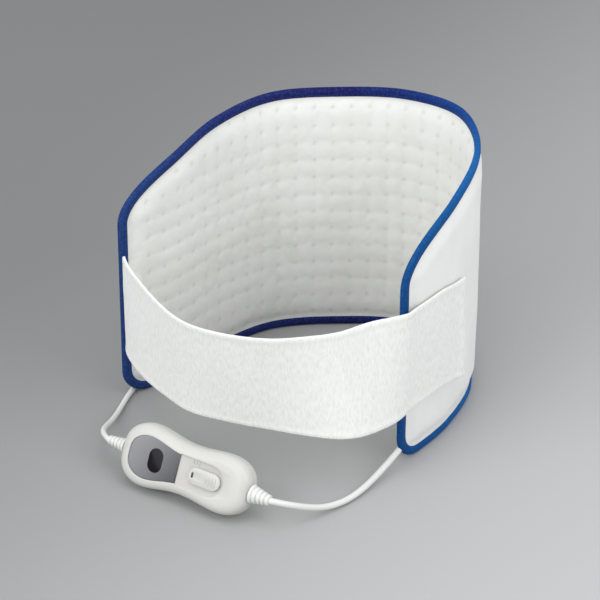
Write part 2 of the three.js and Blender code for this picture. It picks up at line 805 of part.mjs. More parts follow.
// Slide knob: a round-ended thumb piece with ribs, a pointer slot and a stem through the case
function buildSlideKnob() {
  const low = faceFloor + clearance;
  const high = low + knobHeight;
  const centre = knobRest - knobLength / 2;
  let knob = solid(slab(stadium(centre, knobLength, knobWidth), low, high));
  for (let i = 0; i < ribCount; i++) {
    const x = knobRest - knobWidth / 2 + ribPitch * (1 - i);
    knob = knob.add(solid(block([x, 0, high], [ribWidth, knobWidth * 0.62, 2 * ribHeight])));
  }
  const pointer = knobRest - knobLength + knobWidth / 4;
  knob = knob.subtract(solid(block([pointer, 0, high], [ribWidth * 1.6, knobWidth * 0.28, knobHeight])));
  const stemEnd = boardTop + switchHeight - 2;
  knob = knob.add(solid(block([knobStem, 0, (low + 0.5 + stemEnd) / 2],
    [stemLength, stemWidth, low + 0.5 - stemEnd])));
  add(controller, 'slide_knob', geometryOf(knob), caseWhite);
}

const boardTop = boardHeight + boardThickness;
const partSeat = boardTop + clearance;
const switchMargin = 14;
const switchLength = knobTravel + switchMargin;
const switchWidth = 11;
const switchHeight = 6;

// Slide switch: an open body on the board, the carriage that the knob's stem pushes, a detent leaf
function buildSlideSwitch() {
  const middle = knobStem - knobTravel / 2;
  const wall = 1.4;
  const outside = [switchLength, switchWidth, switchHeight];
  const body = solid(block([middle, 0, partSeat + switchHeight / 2], outside))
    .subtract(solid(block([middle, 0, partSeat + wall + switchHeight / 2],
      [switchLength - 2 * wall, switchWidth - 2 * wall, switchHeight])));
  add(controller, 'slide_switch_body', geometryOf(body), componentBlack);
  const floor = partSeat + wall;
  const springHeight = 1;
  const leaf = block([middle, 0, floor + clearance + springHeight / 2],
    [switchLength - 2 * wall - 2 * clearance, switchWidth - 2 * wall - 2 * clearance, springHeight]);
  add(controller, 'detent_spring', leaf, steel);
  const carriageLow = floor + springHeight + 2 * clearance;
  const carriageHigh = partSeat + switchHeight + 1;
  const socketFloor = boardTop + switchHeight - 2 - clearance;
  const carriage = solid(block([knobStem, 0, (carriageLow + carriageHigh) / 2],
    [stemLength + 3.4, switchWidth - 2 * wall - 2 * clearance, carriageHigh - carriageLow]))
    .subtract(solid(block([knobStem, 0, socketFloor + switchHeight / 2],
      [stemLength + 2 * clearance, stemWidth + 2 * clearance, switchHeight])));
  add(controller, 'switch_carriage', geometryOf(carriage), componentBlack);
}

function buildBoard() {
  const board = block([0, 0, boardHeight + boardThickness / 2], [boardLength, boardWidth, boardThickness]);
  add(controller, 'circuit_board', board, boardGreen);
  const seated = (name, x, y, size, look) =>
    add(controller, name, block([x, y, partSeat + size[2] / 2], size), look);
  const displayTop = faceFloor - 2;
  seated('led_display', windowCentre, 0, [...displaySize, displayTop - partSeat], componentBlack);
  seated('triac', powerX, powerY, triacSize, componentBlack);
  seated('film_capacitor', powerX, -powerY, capacitorSize, componentYellow);
  seated('mains_terminal', -terminalX, 0, terminalSize, terminalGreen);
  seated('pad_terminal', terminalX, 0, terminalSize, terminalGreen);
  const fuseRadius = fuseDiameter / 2;
  const fuseEnd = fuseLength / 2;
  const fuse = turned([[0, -fuseEnd], [fuseRadius, -fuseEnd], [fuseRadius, fuseEnd], [0, fuseEnd]], 10);
  fuse.rotateZ(Math.PI / 2);
  fuse.translate(fuseX, 0, partSeat + fuseRadius);
  add(controller, 'fuse', fuse, glassClear);
}

// How far the case's rounded end falls back at a distance from its axis
function endSag(radius, width) {
  const across = (radius / (width / 2)) ** (2 / caseRoundness);
  return (caseLength / 2) * (1 - (1 - across) ** (caseRoundness / 2));
}

// How far a shell's side is drawn in at a share of its height
function levelInset(levels, share) {
  const above = levels.findIndex(([level]) => level >= share);
  const [low, lowInset] = levels[above - 1];
  const [high, highInset] = levels[above];
  return lerp(lowInset, highInset, (share - low) / (high - low));
}

const flangeRadius = bootNeck + bootCatch;
const flangeFall = levelInset(topLevels, flangeRadius / (caseTop - caseWall));
const narrowEnd = Math.min(headWidth, tailWidth);
const flangeFace = caseWall + 2 * clearance + flangeFall + endSag(flangeRadius, narrowEnd);

// Ribbed boot: a flange held behind the case wall, a neck through it and a tapering ribbed tail
function bootGeometry(root, tip) {
  const flangeBack = -flangeFace - bootFlange;
  const profile = [[0, flangeBack], [flangeRadius, flangeBack], [flangeRadius, -flangeFace],
    [bootNeck, -flangeFace], [bootNeck, clearance], [root, clearance]];
  const pitch = (bootLength - 2) / bootRibs;
  for (let i = 0; i < bootRibs; i++) {
    const radius = lerp(root, tip, (i + 0.6) / bootRibs);
    const groove = radius - 1.1;
    const start = clearance + 2 + i * pitch;
    profile.push([radius + 0.3, start], [groove, start + 0.2], [groove, start + pitch * 0.4],
      [radius, start + pitch * 0.4 + 0.2]);
  }
  profile.push([tip, clearance + bootLength], [0, clearance + bootLength]);
  return turned(profile, 12);
}

const bootTipX = caseLength / 2 + clearance + bootLength;

function buildBoots() {
  const left = bootGeometry(bootRoot[0], bootTip[0]);
  left.rotateZ(Math.PI);
  left.translate(-caseLength / 2, 0, 0);
  add(controller, 'mains_boot', left, leadWhite);
  const right = bootGeometry(bootRoot[1], bootTip[1]);
  right.translate(caseLength / 2, 0, 0);
  add(controller, 'pad_boot', right, leadWhite);
}

// Two insulated cores run from each boot to its terminal
function buildCores() {
  const coreDiameter = 1.8;
  const bootInner = caseLength / 2 - flangeFace - bootFlange - clearance;
  const terminalFace = terminalX + terminalSize[0] / 2 + clearance;
  const sides = [['mains', -1], ['pad', 1]];
  sides.forEach(([name, sign]) => {
    [[3.4, coreBrown, 'brown'], [-3.4, coreBlue, 'blue']].forEach(([y, look, colour]) => {
      const height = partSeat + 4;
      const points = [[bootInner, y * 0.5, 0], [bootInner - 2, y * 0.5, 0], [terminalFace + 2, y, height],
        [terminalFace, y, height]].map(([x, across, up]) => new THREE.Vector3(sign * x, across, up));
      add(controller, `${name}_core_${colour}`, bar(points, coreDiameter / 2, 6), look);
    });
  });
}

function placeController() {
  controller.rotation.set(radians(caseRoll), 0, radians(caseYaw), 'ZYX');
  controller.position.set(...caseCentre, 0);
  part.add(controller);
  controller.updateMatrixWorld(true);
  const box = new THREE.Box3().setFromObject(controller, true);
  controller.position.z -= box.min.z;
  controller.updateMatrixWorld(true);
}

// Pad lead: from the right boot along the table and up into the pad's lower right corner
function buildPadLead() {
  const start = controller.localToWorld(new THREE.Vector3(bootTipX + clearance, 0, 0));
  const straight = controller.localToWorld(new THREE.Vector3(bootTipX + padLeadDiameter, 0, 0));
  const slope = radians(25);
  const edge = cornerRadius * (1 - Math.cos(slope));
  const height = cornerRadius * (1 - Math.sin(slope));
  const away = belt.place(0, 0, 0).sub(belt.place(bindingWidth, 0, 0)).normalize();
  const normal = away.clone().multiplyScalar(Math.cos(slope)).setZ(-Math.sin(slope));
  const entry = belt.place(edge, height, 0).addScaledVector(normal, 2 * clearance);
  const before = entry.clone().addScaledVector(normal, padLeadDiameter);
  const route = [start, straight, ...padLeadRoute.map((point) => new THREE.Vector3(...point)), before, entry];
  add(part, 'pad_lead', lead(route, padLeadDiameter, 26), leadWhite);
}

// Coil of the mains lead: turns that spiral in and out again, a layer higher each time
const coilLift = tieThickness + 2 * clearance;
const coilStep = mainsLeadDiameter + coilGap;

function coilPoints() {
  const perLayer = coilTurns / coilLayers;
  const stepsPerTurn = 24;
  const steps = Math.round(coilTurns * stepsPerTurn);
  const smooth = (value) => value * value * (3 - 2 * value);
  return Array.from({ length: steps + 1 }, (_, i) => {
    const turns = (i / steps) * coilTurns;
    const level = Math.min(Math.floor(turns / perLayer), coilLayers - 1);
    const along = turns - level * perLayer;
    const inward = level % 2 === 0 ? along : perLayer - along;
    const radius = coilRadius - coilStep * inward;
    let rise = level;
    if (level < coilLayers - 1) rise += 0.5 * smooth(clamp((along - perLayer + 0.25) / 0.25, 0, 1));
    if (level > 0) rise -= 0.5 * smooth(clamp((0.25 - along) / 0.25, 0, 1));
    const angle = Math.PI - 2 * Math.PI * turns;
    return new THREE.Vector3(
      coilCentre[0] + radius * Math.cos(angle),
      coilCentre[1] + radius * Math.sin(angle),
      coilLift + mainsLeadDiameter / 2 + rise * coilStep,
    );
  });
}

function leastGap(points, diameter) {
  let least = Infinity;
  for (let i = 0; i < points.length; i++) {
    for (let j = i + 8; j < points.length; j++) {
      least = Math.min(least, points[i].distanceTo(points[j]));
    }
  }
  return least - diameter;
}

function buildMainsLead() {
  const coil = coilPoints();
  console.log('least gap in the coil', leastGap(coil, mainsLeadDiameter).toFixed(2));
  add(part, 'mains_coil', bar(coil, mainsLeadDiameter / 2, 6), leadWhite);
  const start = controller.localToWorld(new THREE.Vector3(-bootTipX - clearance, 0, 0));
  const straight = controller.localToWorld(new THREE.Vector3(-bootTipX - mainsLeadDiameter, 0, 0));
  const intoCoil = coil[1].clone().sub(coil[0]).normalize();
  const coilEntry = coil[0].clone().addScaledVector(intoCoil, -clearance);
  const coilBefore = coil[0].clone().addScaledVector(intoCoil, -2 * mainsLeadDiameter);
  const route = [start, straight, ...mainsLeadRoute.map((point) => new THREE.Vector3(...point)),
    coilBefore, coilEntry];
  add(part, 'mains_lead', lead(route, mainsLeadDiameter, 30), leadWhite);
  return coil;
}

// Tie: a flat band closed round the coil's bundle
function buildCoilTie() {
  const perLayer = coilTurns / coilLayers;
  const outerR = coilRadius + mainsLeadDiameter / 2 + 2 * clearance;
  const innerR = coilRadius - coilStep * perLayer - mainsLeadDiameter / 2 - 2 * clearance;
  const low = coilLift - clearance;
  const high = coilLift + mainsLeadDiameter + (coilLayers - 1) * coilStep + clearance;
  const frame = (grow) => {
    const shape = new THREE.Shape();
    const corner = 3;
    const [left, right] = [innerR - grow, outerR + grow];
    const [down, up] = [low - grow, high + grow];
    shape.absarc(right - corner, down + corner, corner, -Math.PI / 2, 0);
    shape.absarc(right - corner, up - corner, corner, 0, Math.PI / 2);
    shape.absarc(left + corner, up - corner, corner, Math.PI / 2, Math.PI);
    shape.absarc(left + corner, down + corner, corner, Math.PI, 1.5 * Math.PI);
    return shape;
  };
  const band = frame(tieThickness);
  band.holes.push(frame(0));
  const cut = { depth: tieWidth, bevelEnabled: false, curveSegments: 3 };
  const geometry = new THREE.ExtrudeGeometry(band, cut);
  geometry.translate(0, 0, -tieWidth / 2);
  geometry.rotateX(Math.PI / 2);
  const tie = add(part, 'coil_tie', welded(geometry), bindingTape);
  tie.rotation.z = radians(-20);
  tie.position.set(...coilCentre, 0);
}

// Flat two-pin plug, lying behind the belt at the end of the coil's tail
function buildPlug(coil) {
  const last = coil[coil.length - 1];
  const leave = last.clone().sub(coil[coil.length - 2]).setZ(0).normalize();
  const plug = new THREE.Group();
  const bootStart = last.clone().addScaledVector(leave, 46).setZ(plugHeight / 2);
  plug.position.copy(bootStart);
  plug.rotation.z = Math.atan2(leave.y, leave.x);
  part.add(plug);
  const ribs = 4;
  const rootRadius = plugHeight / 2 - 1.2;
  const tipRadius = mainsLeadDiameter / 2 + 1;
  const profile = [[0, 0], [tipRadius, 0]];
  for (let i = 0; i < ribs; i++) {
    const radius = lerp(tipRadius, rootRadius, (i + 0.5) / ribs);
    const along = ((i + 0.4) * plugBootLength) / ribs;
    profile.push([radius, along], [radius - 0.8, along + 0.3], [radius - 0.8, along + 1.6],
      [radius + 0.2, along + 1.9]);
  }
  profile.push([rootRadius, plugBootLength], [0, plugBootLength]);
  add(plug, 'plug_boot', turned(profile, 12), leadWhite);
  const back = plugBootLength + clearance;
  const front = back + plugLength;
  const round = 1.8;
  const shape = new THREE.Shape();
  shape.moveTo(back + round, -plugNeck / 2 + round);
  shape.lineTo(front - plugLength / 3, -plugWidth / 2 + round);
  shape.lineTo(front - round, -plugWidth / 2 + round);
  shape.lineTo(front - round, plugWidth / 2 - round);
  shape.lineTo(front - plugLength / 3, plugWidth / 2 - round);
  shape.lineTo(back + round, plugNeck / 2 - round);
  const body = new THREE.ExtrudeGeometry(shape, {
    depth: plugHeight - 2 * round, bevelThickness: round, bevelSize: round, bevelSegments: 2 });
  body.translate(0, 0, round - plugHeight / 2);
  add(plug, 'plug_body', welded(body), leadWhite);
  [1, -1].forEach((sign, i) => {
    const pin = turned([[0, front + clearance], [pinDiameter / 2, front + clearance],
      [pinDiameter / 2, front + pinLength - 1.5], [pinDiameter / 4, front + pinLength],
      [0, front + pinLength]], 10);
    pin.translate(0, (sign * pinSpacing) / 2, 0);
    add(plug, `plug_pin_${i + 1}`, pin, steel);
  });
  const leaveCoil = last.clone().addScaledVector(leave, clearance);
  const down = bootStart.clone().addScaledVector(leave, -2 * mainsLeadDiameter);
  const route = [leaveCoil, last.clone().addScaledVector(leave, 2 * mainsLeadDiameter), down,
    bootStart.clone().addScaledVector(leave, -clearance)];
  add(part, 'plug_tail', lead(route, mainsLeadDiameter, 8), leadWhite);
}

buildCovers();
buildBinding();
buildFilling();
buildHeatingWire();
buildPadFittings();
buildStrap();
buildSeamTab();
buildTopShell();
buildBottomShell();
buildCaseScrews();
buildFace();
buildSlideKnob();
buildSlideSwitch();
buildBoard();
buildBoots();
buildCores();
placeController();
buildPadLead();
const coil = buildMainsLead();
buildCoilTie();
buildPlug(coil);

// Origin on the table, under the middle of the belt and its controller
const onCord = new Set(['pad_lead', 'mains_lead', 'mains_coil', 'coil_tie', 'plug_tail', 'plug_boot',
  'plug_body', 'plug_pin_1', 'plug_pin_2']);
part.updateMatrixWorld(true);
const own = new THREE.Box3();
part.traverse((node) => {
  if (node.isMesh && !onCord.has(node.name)) own.expandByObject(node, true);
});
const centre = own.getCenter(new THREE.Vector3());
part.position.set(-centre.x, -centre.y, -own.min.z);
part.updateMatrixWorld(true);

// Joint lines in the part's frame
const written = (vector, digits) => vector.toArray().map((value) => value.toFixed(digits)).join(' ');
const slideAxis = new THREE.Vector3(1, 0, 0).transformDirection(controller.matrixWorld);
console.log('strap hinge', written(hinge.clone().add(part.position), 2));
const padRun = beltCurve.getTangentAt(1);
const fullSwing = THREE.MathUtils.radToDeg(padRun.angleTo(strapCurve.getTangent(0)));
console.log('strap can open by', fullSwing.toFixed(1));
console.log('slide axis', written(slideAxis, 5));
console.log('origin shift', written(part.position, 2));

export default part;
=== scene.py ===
"""Looks of a quilted heating belt with its strap and in-line slide controller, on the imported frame."""

import bmesh
import bpy
import numpy as np
from mathutils import Matrix, Vector, noise


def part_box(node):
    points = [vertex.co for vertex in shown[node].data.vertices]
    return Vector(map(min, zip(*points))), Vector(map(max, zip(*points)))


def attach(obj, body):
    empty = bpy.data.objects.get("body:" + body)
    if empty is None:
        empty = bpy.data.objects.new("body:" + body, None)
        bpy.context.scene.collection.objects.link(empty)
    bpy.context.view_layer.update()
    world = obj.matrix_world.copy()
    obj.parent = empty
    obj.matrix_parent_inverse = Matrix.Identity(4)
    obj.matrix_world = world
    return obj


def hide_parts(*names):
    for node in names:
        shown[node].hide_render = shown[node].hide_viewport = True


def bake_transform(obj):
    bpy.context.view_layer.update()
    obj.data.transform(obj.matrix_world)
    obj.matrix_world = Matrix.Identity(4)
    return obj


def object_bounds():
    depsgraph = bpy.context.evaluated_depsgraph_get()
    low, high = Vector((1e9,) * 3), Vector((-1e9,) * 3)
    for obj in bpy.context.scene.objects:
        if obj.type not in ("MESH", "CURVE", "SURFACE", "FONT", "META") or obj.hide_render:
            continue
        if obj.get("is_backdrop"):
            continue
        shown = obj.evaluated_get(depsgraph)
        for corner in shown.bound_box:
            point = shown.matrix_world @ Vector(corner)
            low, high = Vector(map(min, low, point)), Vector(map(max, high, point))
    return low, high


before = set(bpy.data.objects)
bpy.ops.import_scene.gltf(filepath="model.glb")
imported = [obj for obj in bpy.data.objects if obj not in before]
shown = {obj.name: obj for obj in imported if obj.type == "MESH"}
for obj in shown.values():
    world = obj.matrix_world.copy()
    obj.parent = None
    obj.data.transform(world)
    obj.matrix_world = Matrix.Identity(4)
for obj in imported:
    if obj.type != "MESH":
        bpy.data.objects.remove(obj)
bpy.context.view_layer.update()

# Felt carrier: a needle-punched felt sheet in the middle of the pad, which holds the heating wire.
# It is cut well inside the pad's outline and curves with the closed belt round the wearer's back.
# Lengths are in millimetres along the belt's line and above the table, and become metres in on_line().
MM = 0.001
ORIGIN = np.array([3.12, 32.49])
PAD_LENGTH, PAD_HEIGHT = 600, 270
CORNER, LEAST_RADIUS, LEAST_RUN = 30, 1, 8
SHOULDER_RUN, SHOULDER_DROP = 208, 76
BELT_STATIONS = [
    [93.5, -106.1], [142.2, -41.5], [166.8, 27.6], [152.5, 96.4], [104.5, 127.9],
    [39.6, 133.5], [-25.5, 124.2], [-76.8, 89.2], [-119.8, 42.4], [-168.7, 4.8],
]
FELT_INSET, FELT_STEP = 34, 10
FELT_OUT = (-3.5, -1.7)


def smooth_line(stations, per_span):
    """Close points on a centripetal Catmull-Rom line through the stations."""
    knots = np.array(stations, float)
    knots = np.vstack([2 * knots[0] - knots[1], knots, 2 * knots[-1] - knots[-2]])
    share = np.linspace(0, 1, per_span, endpoint=False)[:, None]
    spans = []
    for a, b, c, d in zip(knots, knots[1:], knots[2:], knots[3:]):
        before, here, after = (np.linalg.norm(step) ** 0.5 for step in (b - a, c - b, d - c))
        leave = ((b - a) / before - (c - a) / (before + here) + (c - b) / here) * here
        reach = ((c - b) / here - (d - b) / (here + after) + (d - c) / after) * here
        square = 3 * (c - b) - 2 * leave - reach
        cube = 2 * (b - c) + leave + reach
        spans.append(b + share * leave + share**2 * square + share**3 * cube)
    return np.vstack([*spans, knots[-2]])


def lengths(points):
    """The length along a line at each of its points."""
    return np.concatenate([[0], np.cumsum(np.linalg.norm(np.diff(points, axis=0), axis=1))])


def measured(points):
    """A line's points, the length along it at each, and its directions."""
    arcs = lengths(points)
    ways = np.gradient(points, arcs, axis=0)
    return points, arcs, ways / np.linalg.norm(ways, axis=1)[:, None]


def on_line(line, arc, height, out):
    """Points in metres at lengths along a plan line, at heights, moved out square to the line."""
    points, arcs, ways = line
    spare = arc - np.clip(arc, 0, arcs[-1])
    x, y = (np.interp(arc, arcs, points[:, i]) for i in (0, 1))
    along, across = (np.interp(arc, arcs, ways[:, i]) for i in (0, 1))
    x = x + spare * along + out * across + ORIGIN[0]
    y = y + spare * across - out * along + ORIGIN[1]
    return np.stack(np.broadcast_arrays(x, y, height), -1) * MM


belt_points = smooth_line(BELT_STATIONS, per_span=120)
belt_scale = PAD_LENGTH / lengths(belt_points)[-1]
belt_line = measured(belt_points * belt_scale)


def lower_edge(arc, inset):
    """Height of the pad's lower edge, drawn in by an inset: straight, with rounded corners."""
    radius = max(CORNER - inset, LEAST_RADIUS)
    share = np.clip(1 - (np.minimum(arc, PAD_LENGTH - arc) - inset) / radius, 0, 1)
    return inset + radius * (1 - np.sqrt(1 - share**2))


def upper_edge(arc, inset):
    """Height of the pad's upper edge, drawn in by an inset: it falls in a long shoulder at each end."""
    share = np.clip(1 - (np.minimum(arc, PAD_LENGTH - arc) - inset) / (SHOULDER_RUN - inset), 0, 1)
    return PAD_HEIGHT - inset - (SHOULDER_DROP - inset) * (1 - np.sqrt(1 - share**2))


def quarter_turn(count):
    """Shares of a radius from 0 to 1, close together where a rounded edge starts."""
    return 1 - np.cos(np.linspace(0, np.pi / 2, count))


def pad_grid(inset, step):
    """Arcs and heights that cover the pad's outline, drawn in by an inset, in steps of about one size."""
    corner = inset + max(CORNER - inset, LEAST_RUN) * quarter_turn(13)
    count = round((PAD_LENGTH - 2 * corner[-1]) / step)
    middle = np.linspace(corner[-1], PAD_LENGTH - corner[-1], count + 1)[1:-1]
    arcs = np.concatenate([corner, middle, PAD_LENGTH - corner[::-1]])
    shares = np.linspace(0, 1, round((PAD_HEIGHT - 2 * inset) / step) + 1)
    low, high = lower_edge(arcs, inset), upper_edge(arcs, inset)
    return np.repeat(arcs[:, None], len(shares), 1), low[:, None] + shares * (high - low)[:, None]


def linked(name, data):
    """A new object of some data, in the scene at the origin."""
    made = bpy.data.objects.new(name, data)
    bpy.context.scene.collection.objects.link(made)
    return made


def mesh_object(name, points, faces, look, lay=None):
    """A smooth-shaded object at the origin, with a 'lay' attribute for patterns that follow the cloth."""
    mesh = bpy.data.meshes.new(name)
    mesh.from_pydata([tuple(p) for p in points], [], [tuple(f) for f in faces])
    if lay is not None:
        pattern = mesh.attributes.new("lay", "FLOAT_VECTOR", "POINT")
        pattern.data.foreach_set("vector", lay.astype(np.float32).ravel())
    mesh.materials.append(look)
    mesh.shade_smooth()
    mesh.validate()
    return linked(name, mesh)


def grid_faces(columns, rows):
    """Point numbers on a grid, and the faces between them."""
    index = np.arange(columns * rows).reshape(columns, rows)
    corners = [index[:-1, :-1], index[1:, :-1], index[1:, 1:], index[:-1, 1:]]
    return index, np.stack(corners, -1).reshape(-1, 4)


def cloth(name, line, arc, height, inner, outer, look):
    """A closed piece of cloth: an outer and an inner skin on a grid of arcs and heights, joined at the rim.
    A skin is given by its distance out from the line, or by its points."""
    skins = [skin if np.ndim(skin) == 3 else on_line(line, arc, height, skin) for skin in (outer, inner)]
    index, front = grid_faces(*arc.shape)
    rim = np.concatenate([index[:, 0], index[-1, 1:], index[-2::-1, -1], index[0, -2:0:-1]])
    after = np.roll(rim, -1)
    under = index.size
    sides = np.stack([after, rim, rim + under, after + under], -1)
    faces = np.vstack([front, front[:, ::-1] + under, sides])
    flat = np.stack([arc, height, np.zeros_like(arc)], -1).reshape(-1, 3) * MM
    points = np.vstack([skin.reshape(-1, 3) for skin in skins])
    return mesh_object(name, points, faces.tolist(), look, np.vstack([flat, flat]))


def fit(piece, body, slot, *nodes):
    """Hangs a finished piece on its body, in the place of the nodes it shows. Its slot is not used."""
    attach(piece, body)
    if nodes:
        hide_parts(*nodes)


def linear(colour):
    """An sRGB hex colour as linear RGBA."""
    parts = [int(colour[i:i + 2], 16) / 255 for i in (1, 3, 5)]
    return [*(c / 12.92 if c <= 0.04045 else ((c + 0.055) / 1.055) ** 2.4 for c in parts), 1]


def add(tree, kind, inputs=None, **settings):
    """A node with its settings, and its inputs set from values or linked from (node, output) pairs."""
    made = tree.nodes.new(kind)
    for name, value in settings.items():
        setattr(made, name, value)
    for socket, value in (inputs or {}).items():
        if isinstance(value, tuple) and isinstance(value[0], bpy.types.Node):
            tree.links.new(value[0].outputs[value[1]], made.inputs[socket])
        else:
            made.inputs[socket].default_value = value
    return made


def begin(name, surface):
    """A new material with plain values on its shader: the material and its node tree."""
    made = bpy.data.materials.new(name)
    made.use_nodes = True
    for socket, value in surface.items():
        made.node_tree.nodes["Principled BSDF"].inputs[socket].default_value = value
    return made, made.node_tree


def join(tree, links):
    """Links (node, output) pairs to the sockets of a material's shader."""
    for socket, (node, output) in links.items():
        tree.links.new(node.outputs[output], tree.nodes["Principled BSDF"].inputs[socket])


def stain(ramp, *colours):
    """Gives a ramp's stops their colours."""
    for stop, colour in zip(ramp.color_ramp.elements, colours):
        stop.color = linear(colour)


def mottled(name, surface, grain, detail, tints, relief=None, gloss=None):
    """A material that wanders between two tints in grains of a size in millimetres. It may have a relief of
    some strength and depth, and a roughness that wanders between two values."""
    made, tree = begin(name, surface)
    where = add(tree, "ShaderNodeTexCoord")
    grains = add(tree, "ShaderNodeTexNoise", {
        "Vector": (where, "Object"), "Scale": 1 / (grain * MM), "Detail": detail})
    tint = add(tree, "ShaderNodeValToRGB", {"Fac": (grains, "Fac")})
    stain(tint, *tints)
    join(tree, {"Base Color": (tint, "Color")})
    if relief:
        bump = add(tree, "ShaderNodeBump", {
            "Height": (grains, "Fac"), "Strength": relief[0], "Distance": relief[1] * MM})
        join(tree, {"Normal": (bump, "Normal")})
    if gloss:
        sheen = add(tree, "ShaderNodeMapRange", {
            "Value": (grains, "Fac"), "To Min": gloss[0], "To Max": gloss[1]})
        join(tree, {"Roughness": (sheen, "Result")})
    return made


# Needle felt: short matted fibres, dull and slightly mottled, in clumps about 2 mm across
needle_felt = mottled("needle_felt", {"Roughness": 1.0, "Specular IOR Level": 0.2}, grain=2, detail=6.0,
                      tints=("#c2bba9", "#dcd7c8"), relief=(0.5, 0.4))
arc, height = pad_grid(FELT_INSET, FELT_STEP)
felt_sheet = cloth("felt_sheet", belt_line, arc, height, *FELT_OUT, needle_felt)
fit(felt_sheet, "belt", "felt", "felt_carrier")

# Heating wire, splice and thermal cut-outs: a silicone-sheathed wire sewn to the felt in upright passes.
# They are rigid enough in the source, so their nodes stay, with moulded and extruded finishes of their own.
MOULD_RELIEF, GLOSS_SPREAD = (0.15, 0.03), 0.05


def moulded(name, dark, light, grain, roughness, metal=0.0, shine=0.5):
    """A hard finish with a fine grain: two close tints, a faint relief and a gloss that wanders a little."""
    surface = {"Metallic": metal, "Specular IOR Level": shine}
    gloss = (roughness - GLOSS_SPREAD, roughness + GLOSS_SPREAD)
    return mottled(name, surface, grain, detail=3.0, tints=(dark, light), relief=MOULD_RELIEF, gloss=gloss)


def dress(names, look):
    """Gives CAD nodes that stay their finish."""
    for name in names:
        shown[name].data.materials.clear()
        shown[name].data.materials.append(look)


# Extruded silicone: rust red and waxy, half dull, with a faint dusting about 3 mm across
wire_silicone = mottled("extruded_silicone", {"Roughness": 0.55, "IOR": 1.41}, grain=3, detail=4.0,
                        tints=("#a83c28", "#c25238"))
# Nickel plate: bright pale grey metal, its shine slightly broken. Phenolic: near black and half dull
plated_steel = moulded("nickel_plated_steel", "#a9acb0", "#c4c7ca", 0.8, 0.3, metal=1.0)
black_moulding = moulded("black_phenolic", "#191a1b", "#242526", 0.5, 0.5)
dress(["heating_wire"], wire_silicone)
dress(["thermal_cutout_1", "thermal_cutout_2"], plated_steel)
dress(["lead_splice"], black_moulding)

# Wadding: a thin blanket of crimped polyester fibre over the wire, so that it isn't felt through the cover.
# It is laid in loose, and stops where the covers come together at the edge.
WADDING_OUT = (1.3, 3.5)
# Polyester wadding: off-white tangled fibre with no gloss and a soft sheen, in wisps about 4 mm across
polyester_wadding = mottled("polyester_wadding", {"Roughness": 1.0, "Sheen Weight": 0.3}, grain=4,
                            detail=8.0, tints=("#e4e2dc", "#f6f5f1"))
arc, height = pad_grid(FELT_INSET, FELT_STEP)
wadding_pad = cloth("wadding_pad", belt_line, arc, height, *WADDING_OUT, polyester_wadding)
fit(wadding_pad, "belt", "wadding", "wadding")

# Inner cover: brushed white polyester laminated to thin foam and spot-bonded in a square pattern, so that it
# puffs up between small pressed dots. Its edge is pinched flat where the binding takes it.
COVER_INSET, COVER_THICKNESS = 1.5, 1.2
SEAM_HALF, STACK_HALF = 0.15, 3.8
SEAM_ALLOWANCE, PINCH = 12, 14
BINDING_WIDTH, BINDING_FADE = 9, 5
HELD_EDGE = 11
STEEPEST = 0.97
PUCKER_DEPTH, PUCKER_WAVE = 0.5, 7
QUILT_PITCH, QUILT_STEP = (18, 19.4), 2.2
DOT_RADIUS, DOT_FADE = 1.5, 1.2
DOT_DRIFT, DRIFT_WAVE = 0.9, 60
LUMPS = (0.12, 9, 14, 1.5)
QUILT_GROWTH, QUILT_PRESSURE, QUILT_CAP = 0.003, 14, 2.6
SETTLE_FRAMES = 20


def edge_distance(arc, height):
    """How far a place on a cover is from the cover's edge, square to the sloping shoulders."""
    low, high = lower_edge(arc, COVER_INSET), upper_edge(arc, COVER_INSET)
    from_end = np.minimum(arc, PAD_LENGTH - arc) - COVER_INSET
    run, rise = SHOULDER_RUN - COVER_INSET, SHOULDER_DROP - COVER_INSET
    share = np.clip(1 - from_end / run, 0, STEEPEST)
    steep = np.hypot(1, rise / run * share / np.sqrt(1 - share**2))
    return np.minimum.reduce([height - low, (high - height) / steep, from_end])


def cover_lift(edge):
    """How far a cover stands off the pad's middle: nothing at the seam, the whole stack behind the pinch."""
    share = np.clip((edge - SEAM_ALLOWANCE) / PINCH, 0, 1)
    return SEAM_HALF + (STACK_HALF - SEAM_HALF) * np.sin(share * np.pi / 2)


def eased(value, start, end):
    """0 before start, 1 after end, smooth between them."""
    share = np.clip((value - start) / (end - start), 0, 1)
    return share**2 * (3 - 2 * share)


def waves(arc, height, depth, long, tall, seed):
    """Soft noise over the cloth, with waves of a given depth, length and height in millimetres."""
    places = np.stack([arc / long, height / tall, np.full_like(arc, seed)], -1).reshape(-1, 3)
    return depth * np.array([noise.noise(Vector(place)) for place in places]).reshape(arc.shape)


def puckers(arc, height, edge, seed):
    """Short gathers that the binding's stitches pull into the cover's edge."""
    fade = np.exp(-np.clip(edge - BINDING_WIDTH, 0, None) / PUCKER_WAVE)
    fade *= eased(edge, BINDING_WIDTH - BINDING_FADE, BINDING_WIDTH)
    return waves(arc, height, PUCKER_DEPTH, PUCKER_WAVE, PUCKER_WAVE, seed) * fade


